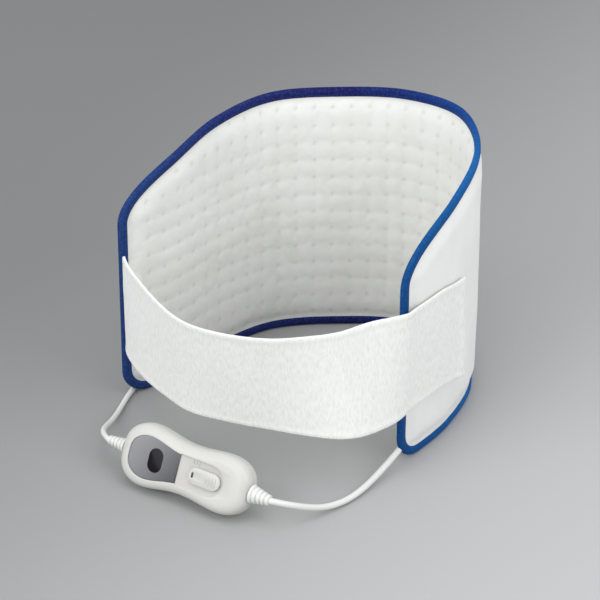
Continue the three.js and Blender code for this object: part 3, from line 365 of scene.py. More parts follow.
def relaxed(points, held):
    """Where a sheet's points settle as cloth that is a little too long, blown up between its held points."""
    sheet = bpy.data.meshes.new("slack_sheet")
    faces = grid_faces(*held.shape)[1][:, ::-1]
    sheet.from_pydata([tuple(p) for p in points.reshape(-1, 3)], [], faces.tolist())
    made = linked("slack_sheet", sheet)
    made.vertex_groups.new(name="held").add(np.flatnonzero(held).tolist(), 1.0, "REPLACE")
    slack = made.modifiers.new("slack", "CLOTH")
    slack.collision_settings.use_collision = False
    slack.point_cache.frame_start, slack.point_cache.frame_end = 1, SETTLE_FRAMES
    fabric = slack.settings
    fabric.vertex_group_mass = "held"
    fabric.quality, fabric.mass, fabric.air_damping = 4, 0.1, 4
    fabric.tension_stiffness = fabric.compression_stiffness = 12
    fabric.shear_stiffness, fabric.bending_stiffness = 4, 0.5
    fabric.shrink_min = -QUILT_GROWTH
    fabric.use_pressure = True
    fabric.uniform_pressure_force = QUILT_PRESSURE
    fabric.effector_weights.gravity = 0
    for moment in range(1, SETTLE_FRAMES + 1):
        bpy.context.scene.frame_set(moment)
    settled = made.evaluated_get(bpy.context.evaluated_depsgraph_get()).data
    spots = np.empty(points.size)
    settled.vertices.foreach_get("co", spots)
    bpy.data.objects.remove(made)
    bpy.context.scene.frame_set(1)
    moved = spots.reshape(points.shape) - points
    far = np.linalg.norm(moved, axis=-1, keepdims=True)
    return points + moved * np.minimum(1, QUILT_CAP * MM / np.maximum(far, 1e-9))


# Brushed microfibre: a soft nap of fibres about 0.5 mm apart, drawn at 1.2 mm so that they show, with the
# pressed dots painted a little darker as shade in their dimples.
# The nap gives a pale sheen at the turned edges.
NAP, NAP_PATCH = 1.2, 45
quilt_fabric, tree = begin("brushed_microfibre", {
    "Roughness": 0.92, "Specular IOR Level": 0.25, "Sheen Weight": 0.25, "Sheen Roughness": 0.6})
flat = add(tree, "ShaderNodeAttribute", attribute_name="lay")
nap = add(tree, "ShaderNodeTexNoise", {"Vector": (flat, "Vector"), "Scale": 1 / (NAP * MM), "Detail": 5.0})
patches = add(tree, "ShaderNodeTexNoise", {
    "Vector": (flat, "Vector"), "Scale": 1 / (NAP_PATCH * MM), "Detail": 2.0})
both = add(tree, "ShaderNodeMath", {0: (nap, "Fac"), 1: (patches, "Fac")}, operation="ADD")
shade = add(tree, "ShaderNodeMapRange", {"Value": (both, "Value"), "From Min": 0.6, "From Max": 1.4})
tint = add(tree, "ShaderNodeValToRGB", {"Fac": (shade, "Result")})
stain(tint, "#e2e2dd", "#f0f0ec")
# Painted shade in the dots' dimples: a darker tint mixed in by the dots' mask
pressed = add(tree, "ShaderNodeAttribute", attribute_name="pressed")
dot_shaded = add(tree, "ShaderNodeMixRGB", {
    "Fac": (pressed, "Fac"), "Color1": (tint, "Color"), "Color2": linear("#d2d1cc")})
fuzz = add(tree, "ShaderNodeBump", {"Height": (nap, "Fac"), "Strength": 0.35, "Distance": 0.25 * MM})
join(tree, {"Base Color": (dot_shaded, "Color"), "Normal": (fuzz, "Normal")})

arc, height = pad_grid(COVER_INSET, QUILT_STEP)
edge = edge_distance(arc, height)
aside, above = (waves(arc, height, DOT_DRIFT, DRIFT_WAVE, DRIFT_WAVE, seed) for seed in (3.5, 8.5))
across = (arc - PAD_LENGTH / 2 + aside) / QUILT_PITCH[0]
up = (height - PAD_HEIGHT / 2 + above) / QUILT_PITCH[1]
from_dot = np.hypot((across - np.round(across)) * QUILT_PITCH[0], (up - np.round(up)) * QUILT_PITCH[1])
inside = eased(edge, BINDING_WIDTH, BINDING_WIDTH + BINDING_FADE)
# A soft mask round each dot, for the painted shade in its dimple
dot_shade_mask = np.exp(-(from_dot / (DOT_FADE * DOT_RADIUS)) ** 2) * inside
lift = cover_lift(edge) + waves(arc, height, *LUMPS) * inside
taut = -lift - COVER_THICKNESS - puckers(arc, height, edge, seed=2.5)
held = (from_dot < DOT_RADIUS) | (edge < HELD_EDGE)
quilt_face = relaxed(on_line(belt_line, arc, height, taut), held)
quilted_cover = cloth("quilted_cover", belt_line, arc, height, quilt_face, -lift, quilt_fabric)
# The painted dimple shade goes on the quilted face only
dot_shade_layer = quilted_cover.data.attributes.new("pressed", "FLOAT", "POINT")
both_skins = np.concatenate([0 * dot_shade_mask.ravel(), dot_shade_mask.ravel()])
dot_shade_layer.data.foreach_set("value", both_skins.astype(np.float32))
fit(quilted_cover, "belt", "quilt_fabric", "inner_cover")

# Outer cover: plain brushed white polyester, the loop side that the strap's hooks hold on. It bows out over
# the wadding, is pulled smooth under the strap's end, and drops into slight upright creases elsewhere.
LAP_LENGTH, LAP_FADE = 89, 30
STRAP_BOTTOM, STRAP_WIDTH = 64, 110
STRAP_TOP = STRAP_BOTTOM + STRAP_WIDTH
OUTER_STEP = 3
# Depth, length and height of the upright creases and of the broad ones, each with its seed
CREASES = ((0.8, 15, 120, 4.5), (0.4, 30, 50, 6.5))
CREASE_START, CREASE_FULL = 8, 20
# Brushed polyester: the same nap as the inner cover's, in a cleaner white and with no dots
brushed_polyester = quilt_fabric.copy()
brushed_polyester.name = "brushed_polyester"
for node in brushed_polyester.node_tree.nodes:
    if node.type == "VALTORGB":
        stain(node, "#e8e8e5", "#f5f5f3")
arc, height = pad_grid(COVER_INSET, OUTER_STEP)
edge = edge_distance(arc, height)
lap = 1 - eased(arc, LAP_LENGTH, LAP_LENGTH + LAP_FADE)
lap *= eased(height, STRAP_BOTTOM - LAP_FADE, STRAP_BOTTOM)
lap *= 1 - eased(height, STRAP_TOP, STRAP_TOP + LAP_FADE)
crease = sum(waves(arc, height, *folds) for folds in CREASES)
crease *= (1 - lap) * eased(edge, CREASE_START, CREASE_FULL)
lift = cover_lift(edge)
outer_face = lift + COVER_THICKNESS + crease + puckers(arc, height, edge, seed=7.5)
brushed_cover = cloth("brushed_cover", belt_line, arc, height, lift, outer_face, brushed_polyester)
fit(brushed_cover, "belt", "outer_fabric", "outer_cover")

# Edge binding: a woven blue tape folded over both covers and sewn through, all the way round the pad.
# It is soft and full at the fold, and the stitches draw its free edges down onto the cloth.
BINDING_FLAT, BINDING_RINGS = 24, 720
# Depth inside the pad's edge and distance out, on one half of the tape's section and inside its fold
HALF_SECTION = [(9.0, 1.55), (8.9, 2.2), (7.6, 2.25), (6.6, 2.7), (4.5, 3.05), (2.2, 2.95), (0.8, 2.2),
                (0.0, 1.1)]
FOLD, FOLD_INSIDE = (-0.1, 0.0), [(5.0, 1.6), (1.6, 1.6), (1.2, 0.0), (1.6, -1.6), (5.0, -1.6)]
LONG_STEPS, END_STEPS = 214, 64
SLACK, SLACK_WAVE = 0.05, 14
binding_section = [(depth, -out) for depth, out in HALF_SECTION] + [FOLD] + HALF_SECTION[::-1] + FOLD_INSIDE
corner = CORNER * quarter_turn(17)
straight = np.linspace(CORNER, PAD_LENGTH - CORNER, LONG_STEPS + 2)[1:-1]
columns = np.concatenate([corner, straight, PAD_LENGTH - corner[::-1]])
end_rise = np.linspace(0, 1, END_STEPS + 2)[1:-1]
low, high = lower_edge(columns, 0), upper_edge(columns, 0)
right_end = np.stack([np.full(END_STEPS, PAD_LENGTH), low[-1] + (high[-1] - low[-1]) * end_rise], -1)
left_end = np.stack([np.zeros(END_STEPS), high[0] + (low[0] - high[0]) * end_rise], -1)
loop = np.vstack([np.stack([columns, low], -1), right_end, np.stack([columns, high], -1)[::-1], left_end])


def spaced(points, count, endless=False):
    """A line cut into equal steps, with its length. An endless line goes back to its start."""
    line = np.vstack([points, points[:1]]) if endless else points
    arcs = lengths(line)
    places = np.linspace(0, arcs[-1], count, endpoint=not endless)
    return np.stack([np.interp(places, arcs, axis) for axis in line.T], -1), arcs[-1]


def tube_faces(rings, sides, endless):
    """Faces of a skin over rings of equal point counts."""
    spans = rings if endless else rings - 1
    i, j = np.meshgrid(np.arange(spans), np.arange(sides), indexing="ij")
    after, beside = (i + 1) % rings, (j + 1) % sides
    corners = [i * sides + j, after * sides + j, after * sides + beside, i * sides + beside]
    return np.stack(corners, -1).reshape(-1, 4).tolist()


def outward(made):
    """Turns a closed mesh's faces outwards."""
    work = bmesh.new()
    work.from_mesh(made.data)
    bmesh.ops.recalc_face_normals(work, faces=work.faces)
    work.to_mesh(made.data)
    work.free()
    return made


loop, edge_length = spaced(loop, BINDING_RINGS, endless=True)
along = np.roll(loop, -2, axis=0) - np.roll(loop, 2, axis=0)
along /= np.linalg.norm(along, axis=1)[:, None]
inward = np.stack([-along[:, 1], along[:, 0]], -1)
places = np.arange(BINDING_RINGS) * edge_length / BINDING_RINGS
fullness = 1 + SLACK * np.array([noise.noise(Vector((s / SLACK_WAVE, 0.5, 0.5))) for s in places])
rings = []
for depth, out in binding_section:
    spot = loop + inward * depth
    rings.append(on_line(belt_line, spot[:, 0], spot[:, 1], out * fullness))
rings = np.stack(rings, 1)

# Woven polyester tape: ribs across the tape about 0.8 mm apart, drawn at 2.6 mm so that they show, with paler
# crossings. Its blue is painted with light and shade: azure at the right end, deepening to navy round the
# back and up the left end.
TAPE_RIB = 2.6
# Stops of the tape's painted light and shade, by share of the pad's length
TAPE_PAINTED_LIGHT = [(0, "#07447e"), (0.1, "#084e8c"), (0.22, "#165ea2"), (0.34, "#0d3f84"), (0.45, "#13266a"),
            (0.57, "#171452"), (0.78, "#1b2562"), (1, "#1e3870")]
blue_tape, tree = begin("woven_polyester_tape", {
    "Roughness": 0.75, "Specular IOR Level": 0.15, "Sheen Weight": 0.04, "Sheen Roughness": 0.4,
    "Sheen Tint": linear("#6fa4e6")})
flat = add(tree, "ShaderNodeAttribute", attribute_name="lay")
parts = add(tree, "ShaderNodeSeparateXYZ", {"Vector": (flat, "Vector")})
share = add(tree, "ShaderNodeMapRange", {"Value": (parts, "Z"), "From Max": PAD_LENGTH * MM})
tape_painted_light = add(tree, "ShaderNodeValToRGB", {"Fac": (share, "Result")})
while len(tape_painted_light.color_ramp.elements) < len(TAPE_PAINTED_LIGHT):
    tape_painted_light.color_ramp.elements.new(1)
for stop, (place, colour) in zip(tape_painted_light.color_ramp.elements, TAPE_PAINTED_LIGHT):
    stop.position = place
    stop.color = linear(colour)
crossings = add(tree, "ShaderNodeTexVoronoi", {"Vector": (flat, "Vector"), "Scale": 1 / (TAPE_RIB * MM)})
pale = add(tree, "ShaderNodeMapRange", {
    "Value": (crossings, "Distance"), "From Min": 0.1, "From Max": 0.55, "To Min": 0.13, "To Max": 0.0})
# Paler weave crossings mixed over the painted light and shade
weave_and_painted_light = add(tree, "ShaderNodeMixRGB", {
    "Fac": (pale, "Result"), "Color1": (tape_painted_light, "Color"), "Color2": linear("#4c8fd6")})
weave = add(tree, "ShaderNodeBump", {"Height": (pale, "Result"), "Strength": 0.6, "Distance": 0.5 * MM})
join(tree, {"Base Color": (weave_and_painted_light, "Color"), "Normal": (weave, "Normal")})

sides = len(binding_section)
depths = np.tile([depth for depth, _ in binding_section], BINDING_RINGS)
lay = np.stack([np.repeat(places, sides), depths, np.repeat(loop[:, 0], sides)], -1) * MM
bound_faces = tube_faces(BINDING_RINGS, sides, endless=True)
bound_edge = outward(mesh_object("bound_edge", rings.reshape(-1, 3), bound_faces, blue_tape, lay))
fit(bound_edge, "belt", "binding_tape", "edge_binding")

# Binding stitches: a lockstitch row close to each free edge of the tape, in matching thread.
# Each stitch lies in the dent that it pulls, about 3 mm long with 1 mm between.
STITCH_PITCH, STITCH_LENGTH, THREAD = 4, 3, 0.5
STITCH_INSET, STITCH_OUT = 1.6, 2.3


def begin_tree(name, inputs):
    """A new geometry tree with named inputs of some kinds and a material: the tree and its input node."""
    made = bpy.data.node_groups.new(name, "GeometryNodeTree")
    for socket, kind in {"Geometry": "Geometry", **inputs, "Look": "Material"}.items():
        made.interface.new_socket(socket, in_out="INPUT", socket_type=f"NodeSocket{kind}")
    made.interface.new_socket("Geometry", in_out="OUTPUT", socket_type="NodeSocketGeometry")
    return made, add(made, "NodeGroupInput")


def end_tree(made, given, copies, smooth=True):
    """Ends a geometry tree: its copies become one mesh in the given material, smooth or as they are."""
    real = add(made, "GeometryNodeRealizeInstances", {"Geometry": (copies, "Instances")})
    if smooth:
        real = add(made, "GeometryNodeSetShadeSmooth", {"Geometry": (real, "Geometry")})
    dyed = add(made, "GeometryNodeSetMaterial", {"Geometry": (real, "Geometry"), "Material": (given, "Look")})
    add(made, "NodeGroupOutput", {"Geometry": (dyed, "Geometry")})
    return made


def stitch_tree():
    """Geometry nodes that lay stitches along a drawn line."""
    made, given = begin_tree("sewn_row", {"Pitch": "Float", "Stitch Length": "Float", "Thread": "Float"})
    line = add(made, "GeometryNodeMeshToCurve", {"Mesh": (given, "Geometry")})
    spots = add(made, "GeometryNodeCurveToPoints", {
        "Curve": (line, "Curve"), "Length": (given, "Pitch")}, mode="LENGTH")
    turn = add(made, "FunctionNodeAlignRotationToVector", {"Vector": (spots, "Tangent")}, axis="X")
    bead = add(made, "GeometryNodeMeshUVSphere", {"Segments": 6, "Rings": 4, "Radius": 0.5})
    size = add(made, "ShaderNodeCombineXYZ", {
        "X": (given, "Stitch Length"), "Y": (given, "Thread"), "Z": (given, "Thread")})
    rows = add(made, "GeometryNodeInstanceOnPoints", {
        "Points": (spots, "Points"), "Instance": (bead, "Mesh"), "Rotation": (turn, "Rotation"),
        "Scale": (size, "Vector")})
    return end_tree(made, given, rows)


def applied(made):
    """Keeps what an object's modifiers make of it as its plain mesh."""
    graph = bpy.context.evaluated_depsgraph_get()
    plain = bpy.data.meshes.new_from_object(made.evaluated_get(graph))
    made.modifiers.clear()
    made.data = plain
    return made


def grown(made, tree, inputs):
    """Runs a geometry tree on an object with its inputs set, and keeps what it makes."""
    modifier = made.modifiers.new(tree.name, "NODES")
    modifier.node_group = tree
    for socket in tree.interface.items_tree:
        if socket.in_out == "INPUT" and socket.name in inputs:
            modifier[socket.identifier] = inputs[socket.name]
    return applied(made)


def drawn(name, lines=()):
    """An object of open lines, each a list of points in metres."""
    points, edges = [], []
    for line in lines:
        edges += [(len(points) + i, len(points) + i + 1) for i in range(len(line) - 1)]
        points += [tuple(p) for p in line]
    mesh = bpy.data.meshes.new(name)
    mesh.from_pydata(points, edges, [])
    return linked(name, mesh)


sewn_row = stitch_tree()
# Polyester thread: smooth twisted filament, a shade brighter than the tape and half glossy
blue_thread = moulded("blue_polyester_thread", "#16307f", "#2450a4", 0.4, 0.5)
rows = []
spot = loop + inward * (BINDING_WIDTH - STITCH_INSET)
for side in (-1, 1):
    row = on_line(belt_line, spot[:, 0], spot[:, 1], side * STITCH_OUT)
    rows.append(np.vstack([row, row[:1]]))
stitch_sizes = {"Pitch": STITCH_PITCH * MM, "Stitch Length": STITCH_LENGTH * MM, "Thread": THREAD * MM}
binding_stitches = grown(drawn("binding_stitches", rows), sewn_row, {**stitch_sizes, "Look": blue_thread})
fit(binding_stitches, "belt", "binding_tape")

# Closing strap: a wide crinkled elastic band. Its hem is folded double and sewn inside the pad's left end,
# beside the binding; it crosses the front, leans with the wearer's waist, and laps on the pad's right end.
CLEARANCE = 0.3
STRAP_THICKNESS, STRAP_STEP, STRAP_ROW = 2.4, 1.5, 1.9
THINNEST = 0.002
HEM_LENGTH = 12
HEM_END = PAD_LENGTH - BINDING_WIDTH - CLEARANCE
LAP_OUT = 8.4
STRAP_REACH, LEAN_POWER = 9, 2.1
EDGE_HEM, HEM_RISE, EDGE_ROLL = 6, 0.35, 1.5
END_CURL, CURL_LENGTH, UPPER_CURL = 4.4, 14, 0.7
END_SAG, SAG_LENGTH = 7, 45
TIP_START, TIP_STEPS = 1.3, np.array([1.2, 0.7, 0.3, 0.1, 0])
SEWN_TUCK = 1.0
MITRE_LENGTH, MITRE_FALL = 22, 1.25
# Depth, length and height of the gathered crinkles and of the slow sway, each with its seed
CRINKLES, SWAY = (0.2, 4, 13, 1.5), (0.7, 30, 60, 2.5)
LAP_WAVES, LAP_START, SEWN_FADE = 0.25, 20, 15
STRAP_STATIONS = [
    [-163.2, -12], [-108.7, -110.2], [-70.5, -132.8], [-21.7, -145.2], [39.9, -145.9], [73.5, -129.7],
]
# The bend runs forwards and a little to the right, so that the lapped end lies past it too
PER_SPAN = 60
strap_radius = STRAP_THICKNESS / 2
fold_out = SEAM_HALF + COVER_THICKNESS + 2 * CLEARANCE + STRAP_THICKNESS + strap_radius
fold_arc = HEM_END - strap_radius


def plan(arc, out):
    """Places in plan, in millimetres, at lengths along the belt and distances out from it."""
    return on_line(belt_line, np.asarray(arc), 0, out)[..., :2] / MM - ORIGIN


fold = plan(fold_arc, -fold_out)
lap_run = plan(np.linspace(0, LAP_LENGTH, PER_SPAN), LAP_OUT)
front_run = smooth_line([fold, *(belt_scale * np.array(STRAP_STATIONS)), lap_run[0], lap_run[-1]], PER_SPAN)
free_front = front_run[:PER_SPAN * (len(STRAP_STATIONS) + 1)]
strap_line = measured(np.vstack([free_front, lap_run]))
strap_length = strap_line[1][-1]
strap_free = strap_length - LAP_LENGTH


def strap_lean(arc, height):
    """The free front leans: its upper edge stands out on the left, its lower edge on the right."""
    share = np.clip(arc / strap_free, 0, 1) ** LEAN_POWER
    return STRAP_REACH * np.sin(2 * np.pi * share) * (2 * (height - STRAP_BOTTOM) / STRAP_WIDTH - 1)


def strap_middle(arc, height):
    """The strap's middle surface: it leans, waves a little, and is crinkled by its gathered threads."""
    free = 1 - eased(arc, strap_free - LAP_START, strap_free)
    crinkle = waves(arc, height, *CRINKLES) + waves(arc, height, *SWAY)
    crinkle *= (LAP_WAVES + (1 - LAP_WAVES) * free) * eased(arc, 0, SEWN_FADE)
    curl = END_CURL * eased(arc, strap_length - CURL_LENGTH, strap_length)
    curl *= 1 - UPPER_CURL * np.clip((height - STRAP_BOTTOM) / STRAP_WIDTH, 0, 1)
    return strap_lean(arc, height) + crinkle + curl


def mitred(arc, height):
    """Heights on the strap, whose upper corner is cut off slantwise towards the sewn end."""
    width = STRAP_WIDTH - MITRE_FALL * np.maximum(MITRE_LENGTH - arc, 0)
    return STRAP_BOTTOM + (height - STRAP_BOTTOM) * width / STRAP_WIDTH


def sagged(arc, height):
    """Heights on the strap, whose loose end hangs a little lower than the rest."""
    return height - END_SAG * eased(arc, strap_length - SAG_LENGTH, strap_length)


def rounding(distance):
    """Share of the strap's half thickness at a distance from its rounded edge."""
    near = np.clip(distance / strap_radius, 0, 1)
    return np.sqrt(np.maximum(1 - (1 - near) ** 2, THINNEST))


# Crinkled elastic: covered rubber threads gather the cloth into short upright crinkles about 2 mm apart,
# stronger in some patches than in others, so its white looks softly mottled
CRINKLE_WIDE, CRINKLE_TALL, CRINKLE_PATCH = 1.8, 7, 45
crinkled_elastic, tree = begin("crinkled_elastic", {
    "Roughness": 0.9, "Specular IOR Level": 0.25, "Sheen Weight": 0.2, "Sheen Roughness": 0.5})
flat = add(tree, "ShaderNodeAttribute", attribute_name="lay")
stretched = add(tree, "ShaderNodeMapping", {
    "Vector": (flat, "Vector"), "Scale": (1.0, CRINKLE_WIDE / CRINKLE_TALL, 1.0)})
folds = add(tree, "ShaderNodeTexNoise", {
    "Vector": (stretched, "Vector"), "Scale": 1 / (CRINKLE_WIDE * MM), "Detail": 3.0, "Distortion": 0.6})
patches = add(tree, "ShaderNodeTexNoise", {
    "Vector": (flat, "Vector"), "Scale": 1 / (CRINKLE_PATCH * MM), "Detail": 2.0})
tint = add(tree, "ShaderNodeValToRGB", {"Fac": (folds, "Fac")})
stain(tint, "#e2e2df", "#f3f3f0")
tint.color_ramp.elements[0].position = 0.2
tint.color_ramp.elements[1].position = 0.6
depth = add(tree, "ShaderNodeMapRange", {
    "Value": (patches, "Fac"), "From Min": 0.35, "From Max": 0.65, "To Min": 0.06, "To Max": 0.42})
ridges = add(tree, "ShaderNodeBump", {
    "Height": (folds, "Fac"), "Strength": (depth, "Result"), "Distance": 0.6 * MM})
join(tree, {"Base Color": (tint, "Color"), "Normal": (ridges, "Normal")})

turn = strap_radius * quarter_turn(5)
row_count = round(STRAP_WIDTH / STRAP_ROW)
flat_rows = np.linspace(STRAP_BOTTOM + strap_radius, STRAP_TOP - strap_radius, row_count)[1:-1]
strap_rows = np.concatenate([STRAP_BOTTOM + turn, flat_rows, STRAP_TOP - turn[::-1]])
row_share = rounding(np.minimum(strap_rows - STRAP_BOTTOM, STRAP_TOP - strap_rows))
even_arcs = np.arange(-SEWN_TUCK, strap_length - TIP_START, STRAP_STEP)
strap_arcs = np.concatenate([even_arcs, strap_length - TIP_STEPS])
arc, height = np.meshgrid(strap_arcs, strap_rows, indexing="ij")
half = strap_radius * np.minimum(row_share[None, :], rounding(strap_length - arc))
from_edge = np.minimum.reduce([height - STRAP_BOTTOM, STRAP_TOP - height, strap_length - arc])
hem_rise = HEM_RISE * (1 - eased(from_edge, EDGE_HEM - 1, EDGE_HEM + 1)) * eased(from_edge, 0, EDGE_ROLL)
middle = strap_middle(arc, height)
height = sagged(arc, mitred(arc, height))
strap_face = middle + half + hem_rise
strap_cloth = cloth("strap_cloth", strap_line, arc, height, middle - half, strap_face, crinkled_elastic)
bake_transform(strap_cloth)
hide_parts("closure_strap")

# Strap hem: the strap's first centimetre, folded double and sewn down on the quilted cover.
# The fold stands up into the strap, so that the band swings out from it like a page.
hem_places = np.linspace(HEM_END - HEM_LENGTH, fold_arc - SEWN_TUCK, 8)
hem_lift = cover_lift(PAD_LENGTH - COVER_INSET - hem_places) + COVER_THICKNESS + CLEARANCE + strap_radius
hem_line = measured(plan(hem_places, -hem_lift))
arc, height = np.meshgrid(np.linspace(0, hem_line[1][-1], 16), strap_rows, indexing="ij")
half = strap_radius * np.minimum(row_share[None, :], rounding(arc))
height = mitred(arc - HEM_LENGTH, height)
strap_hem = cloth("strap_hem", hem_line, arc, height, -half, half, crinkled_elastic)
fit(strap_hem, "belt", "strap_fabric", "strap_seam_tab")

# Hook patch: a nylon hook tape sewn under the strap's end, which grips the brushed cover.
# A thin woven ground carries rows of bent monofilament hooks, drawn larger and wider apart than life.
HOOK_LENGTH, HOOK_WIDTH = 52, 86
GROUND_GAP, GROUND_THICKNESS = 0.1, 0.6
HOOK_PITCH, HOOK_HEIGHT, HOOK_WIRE = 2.6, 0.9, 0.14
HOOK_BEND = {
    "Start": (0, 0, 0), "Start Handle": (0, 0, 1.1), "End Handle": (0.6, 0, 1.2), "End": (0.65, 0, 0.55)}
HOOK_MARGIN = 2
# Nylon hook tape: greyish white monofilament, stiff and half dull
nylon_tape = moulded("nylon_hook_tape", "#cfcfcc", "#e2e2df", 0.6, 0.6)
patch_end = strap_length - (LAP_LENGTH - HOOK_LENGTH) / 2
patch_start = patch_end - HOOK_LENGTH
patch_low = STRAP_BOTTOM + (STRAP_WIDTH - HOOK_WIDTH) / 2
patch_high = patch_low + HOOK_WIDTH
ground_top = -strap_radius - GROUND_GAP
ground_face = ground_top - GROUND_THICKNESS
arc, height = np.meshgrid(np.linspace(patch_start, patch_end, 30),
                          np.linspace(patch_low, patch_high, 40), indexing="ij")
hook_ground = cloth("hook_ground", strap_line, arc, sagged(arc, height), ground_face, ground_top, nylon_tape)
fit(hook_ground, "strap", "hook_tape", "strap_hook_patch")


def hook_tree():
    """Geometry nodes that stand a bent hook on each root, along the root's own direction."""
    made, given = begin_tree("hook_pile", {"Hook Height": "Float", "Wire Share": "Float"})
    bend = add(made, "GeometryNodeCurvePrimitiveBezierSegment", {"Resolution": 5, **HOOK_BEND})
    wire = add(made, "GeometryNodeCurvePrimitiveCircle", {"Resolution": 4, "Radius": (given, "Wire Share")})
    hook = add(made, "GeometryNodeCurveToMesh", {
        "Curve": (bend, "Curve"), "Profile Curve": (wire, "Curve"), "Fill Caps": True})
    stand = add(made, "GeometryNodeInputNamedAttribute", {"Name": "lay"}, data_type="FLOAT_VECTOR")
    turn = add(made, "FunctionNodeAlignRotationToVector", {"Vector": (stand, "Attribute")}, axis="Z")
    pile = add(made, "GeometryNodeInstanceOnPoints", {
        "Points": (given, "Geometry"), "Instance": (hook, "Mesh"), "Rotation": (turn, "Rotation"),
        "Scale": (given, "Hook Height")})
    return end_tree(made, given, pile, smooth=False)


hook_arcs = np.arange(patch_start + HOOK_MARGIN, patch_end - HOOK_MARGIN / 2, HOOK_PITCH)
hook_heights = np.arange(patch_low + HOOK_MARGIN, patch_high - HOOK_MARGIN / 2, HOOK_PITCH)
arc, height = np.meshgrid(hook_arcs, hook_heights, indexing="ij")
roots, tips = (on_line(strap_line, arc, sagged(arc, height), out).reshape(-1, 3)
               for out in (ground_face, ground_face - 1))
hook_roots = mesh_object("hook_pile", roots, [], nylon_tape, (tips - roots) / MM)
hook_sizes = {"Hook Height": HOOK_HEIGHT * MM, "Wire Share": HOOK_WIRE}
hook_pile = grown(hook_roots, hook_tree(), {**hook_sizes, "Look": nylon_tape})
fit(hook_pile, "strap", "hook_tape")

# Strap stitches: white thread that sews the hook patch on, seen as a box on the strap's face, and rows that
# turn in its two long edges and its loose end.
PATCH_SEAM, END_SEAM = 2.5, 4
ROW_START, ROW_POINTS = 32, 160
# White polyester thread: as white as the strap, and seen by its half-glossy bumps
white_thread = moulded("white_polyester_thread", "#e6e6e3", "#f6f6f4", 0.4, 0.5)
left, right = patch_start + PATCH_SEAM, patch_end - PATCH_SEAM
low, high = patch_low + PATCH_SEAM, patch_high - PATCH_SEAM
box = [(left, low), (right, low), (right, high), (left, high), (left, low)]
hem_low, hem_high = STRAP_BOTTOM + END_SEAM, STRAP_TOP - END_SEAM
hem_end = strap_length - END_SEAM
edge_rows = [(ROW_START, hem_low), (hem_end, hem_low), (hem_end, hem_high), (ROW_START, hem_high)]
rows = []
for corners, rise in ((box, 0), (edge_rows, HEM_RISE)):
    walk = np.vstack([np.linspace(a, b, ROW_POINTS) for a, b in zip(corners, corners[1:])])
    face = strap_middle(walk[:, 0], walk[:, 1]) + strap_radius + rise
    rows.append(on_line(strap_line, walk[:, 0], sagged(*walk.T), face))
strap_stitches = grown(drawn("strap_stitches", rows), sewn_row, {**stitch_sizes, "Look": white_thread})
fit(strap_stitches, "strap", "strap_fabric")

# Controller case: two white ABS half shells, waisted like a bone, screwed together from below along a parting
# line. The face is sunk for the display panel at the head and for the slide switch beside it.
CASE_LENGTH = 138
HEAD, WAIST, TAIL = 69, 48.6, 63.4
WAIST_REACH, CASE_ROUND = 0.87, 0.65
CASE_TOP, CASE_BOTTOM, CASE_WALL = 12.5, 14.5, 2.2
TOP_SPAN, BOTTOM_SPAN = 12, 14
PARTING_HALF, PAST_PARTING = 0.15, 1
CROWN_STEPS, CROWN_CLOSENESS, CROWN_FULLNESS = 20, 2.2, 0.4
CASE_YAW, CASE_ROLL = np.radians(-32.2), np.radians(62.8)
BOARD_MIDDLE = -2.2
PANEL_END, FACE_INSET, FACE_FLOOR = -4.6, 10.3, 11.1
RECESS_END, RECESS_WIDTH = 44.3, 30
FIELD_OVERLAP, CORNER_ROOM = 0.1, 0.5
WINDOW_X, WINDOW_LONG, WINDOW_WIDE, WINDOW_LEDGE = -29.4, 23, 15, 3
KNOB_REST, KNOB_LONG, KNOB_WIDE, KNOB_TRAVEL = 41.5, 33.6, 16, 12
STEM_LONG, STEM_WIDE = 5, 4
SCREW_X, SCREW_Y, SCREW_HEAD = 42, 14.2, 5.8
MOUTH_RADIUS, MOUTH_REACH, MOUTH_SIDES = 5.9, 80, 32
CUT_FLOOR, CUT_SPARE = 5, 2
EDGE_ROUND, EDGE_ANGLE, SHARP_ANGLE, SOFT_ANGLE = 0.3, 40, 50, 60
FLOOR_TOLERANCE = 0.05
turned = Matrix.Rotation(CASE_YAW, 4, "Z") @ Matrix.Rotation(CASE_ROLL, 4, "X")
board_low, board_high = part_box("circuit_board")
case_middle = (board_low + board_high) / 2 - turned @ Vector((0, 0, BOARD_MIDDLE * MM))
case_place = Matrix.Translation(case_middle) @ turned
stem_x = KNOB_REST - KNOB_LONG / 2


def half_width(x):
    """Half the case's width along it: broad head, drawn-in waist, broad tail."""
    bulge = np.minimum(np.abs(x) / (CASE_LENGTH / 2) / WAIST_REACH, 1)
    end = np.where(x < 0, HEAD, TAIL)
    return (WAIST + (end - WAIST) * np.sin(bulge * np.pi / 2) ** 2) / 2


def squared(count, power):
    """Points round a unit circle, pushed out towards a square by a power under 1."""
    angle = 2 * np.pi * np.arange(count) / count
    turn = np.stack([np.cos(angle), np.sin(angle)], -1)
    return np.sign(turn) * np.abs(turn) ** power


def case_outline(inset, count=128):
    """The case's outline from above, drawn in by an inset."""
    reach, spread = squared(count, CASE_ROUND).T
    width = half_width(CASE_LENGTH / 2 * reach) - inset
    return np.stack([(CASE_LENGTH / 2 - inset) * reach, width * spread], -1)


def skin(rings):
    """Points and faces of a closed skin over rings of equal point counts, capped at both ends."""
    count, last = len(rings[0]), (len(rings) - 1) * len(rings[0])
    caps = [list(range(count))[::-1], list(range(last, last + count))]
    return np.vstack(rings), tube_faces(len(rings), count, endless=False) + caps


def at_height(shape, height):
    """A flat outline's points at a height."""
    return np.column_stack([shape, np.full(len(shape), height)])


def lengthwise(x, shape):
    """A flat outline's points stood across the X axis, at a place along it."""
    return np.column_stack([np.full(len(shape), x), shape])


def loft(levels):
    """A closed loft of case outlines, from (height, inset) pairs."""
    return skin([at_height(case_outline(inset), height) for height, inset in levels])


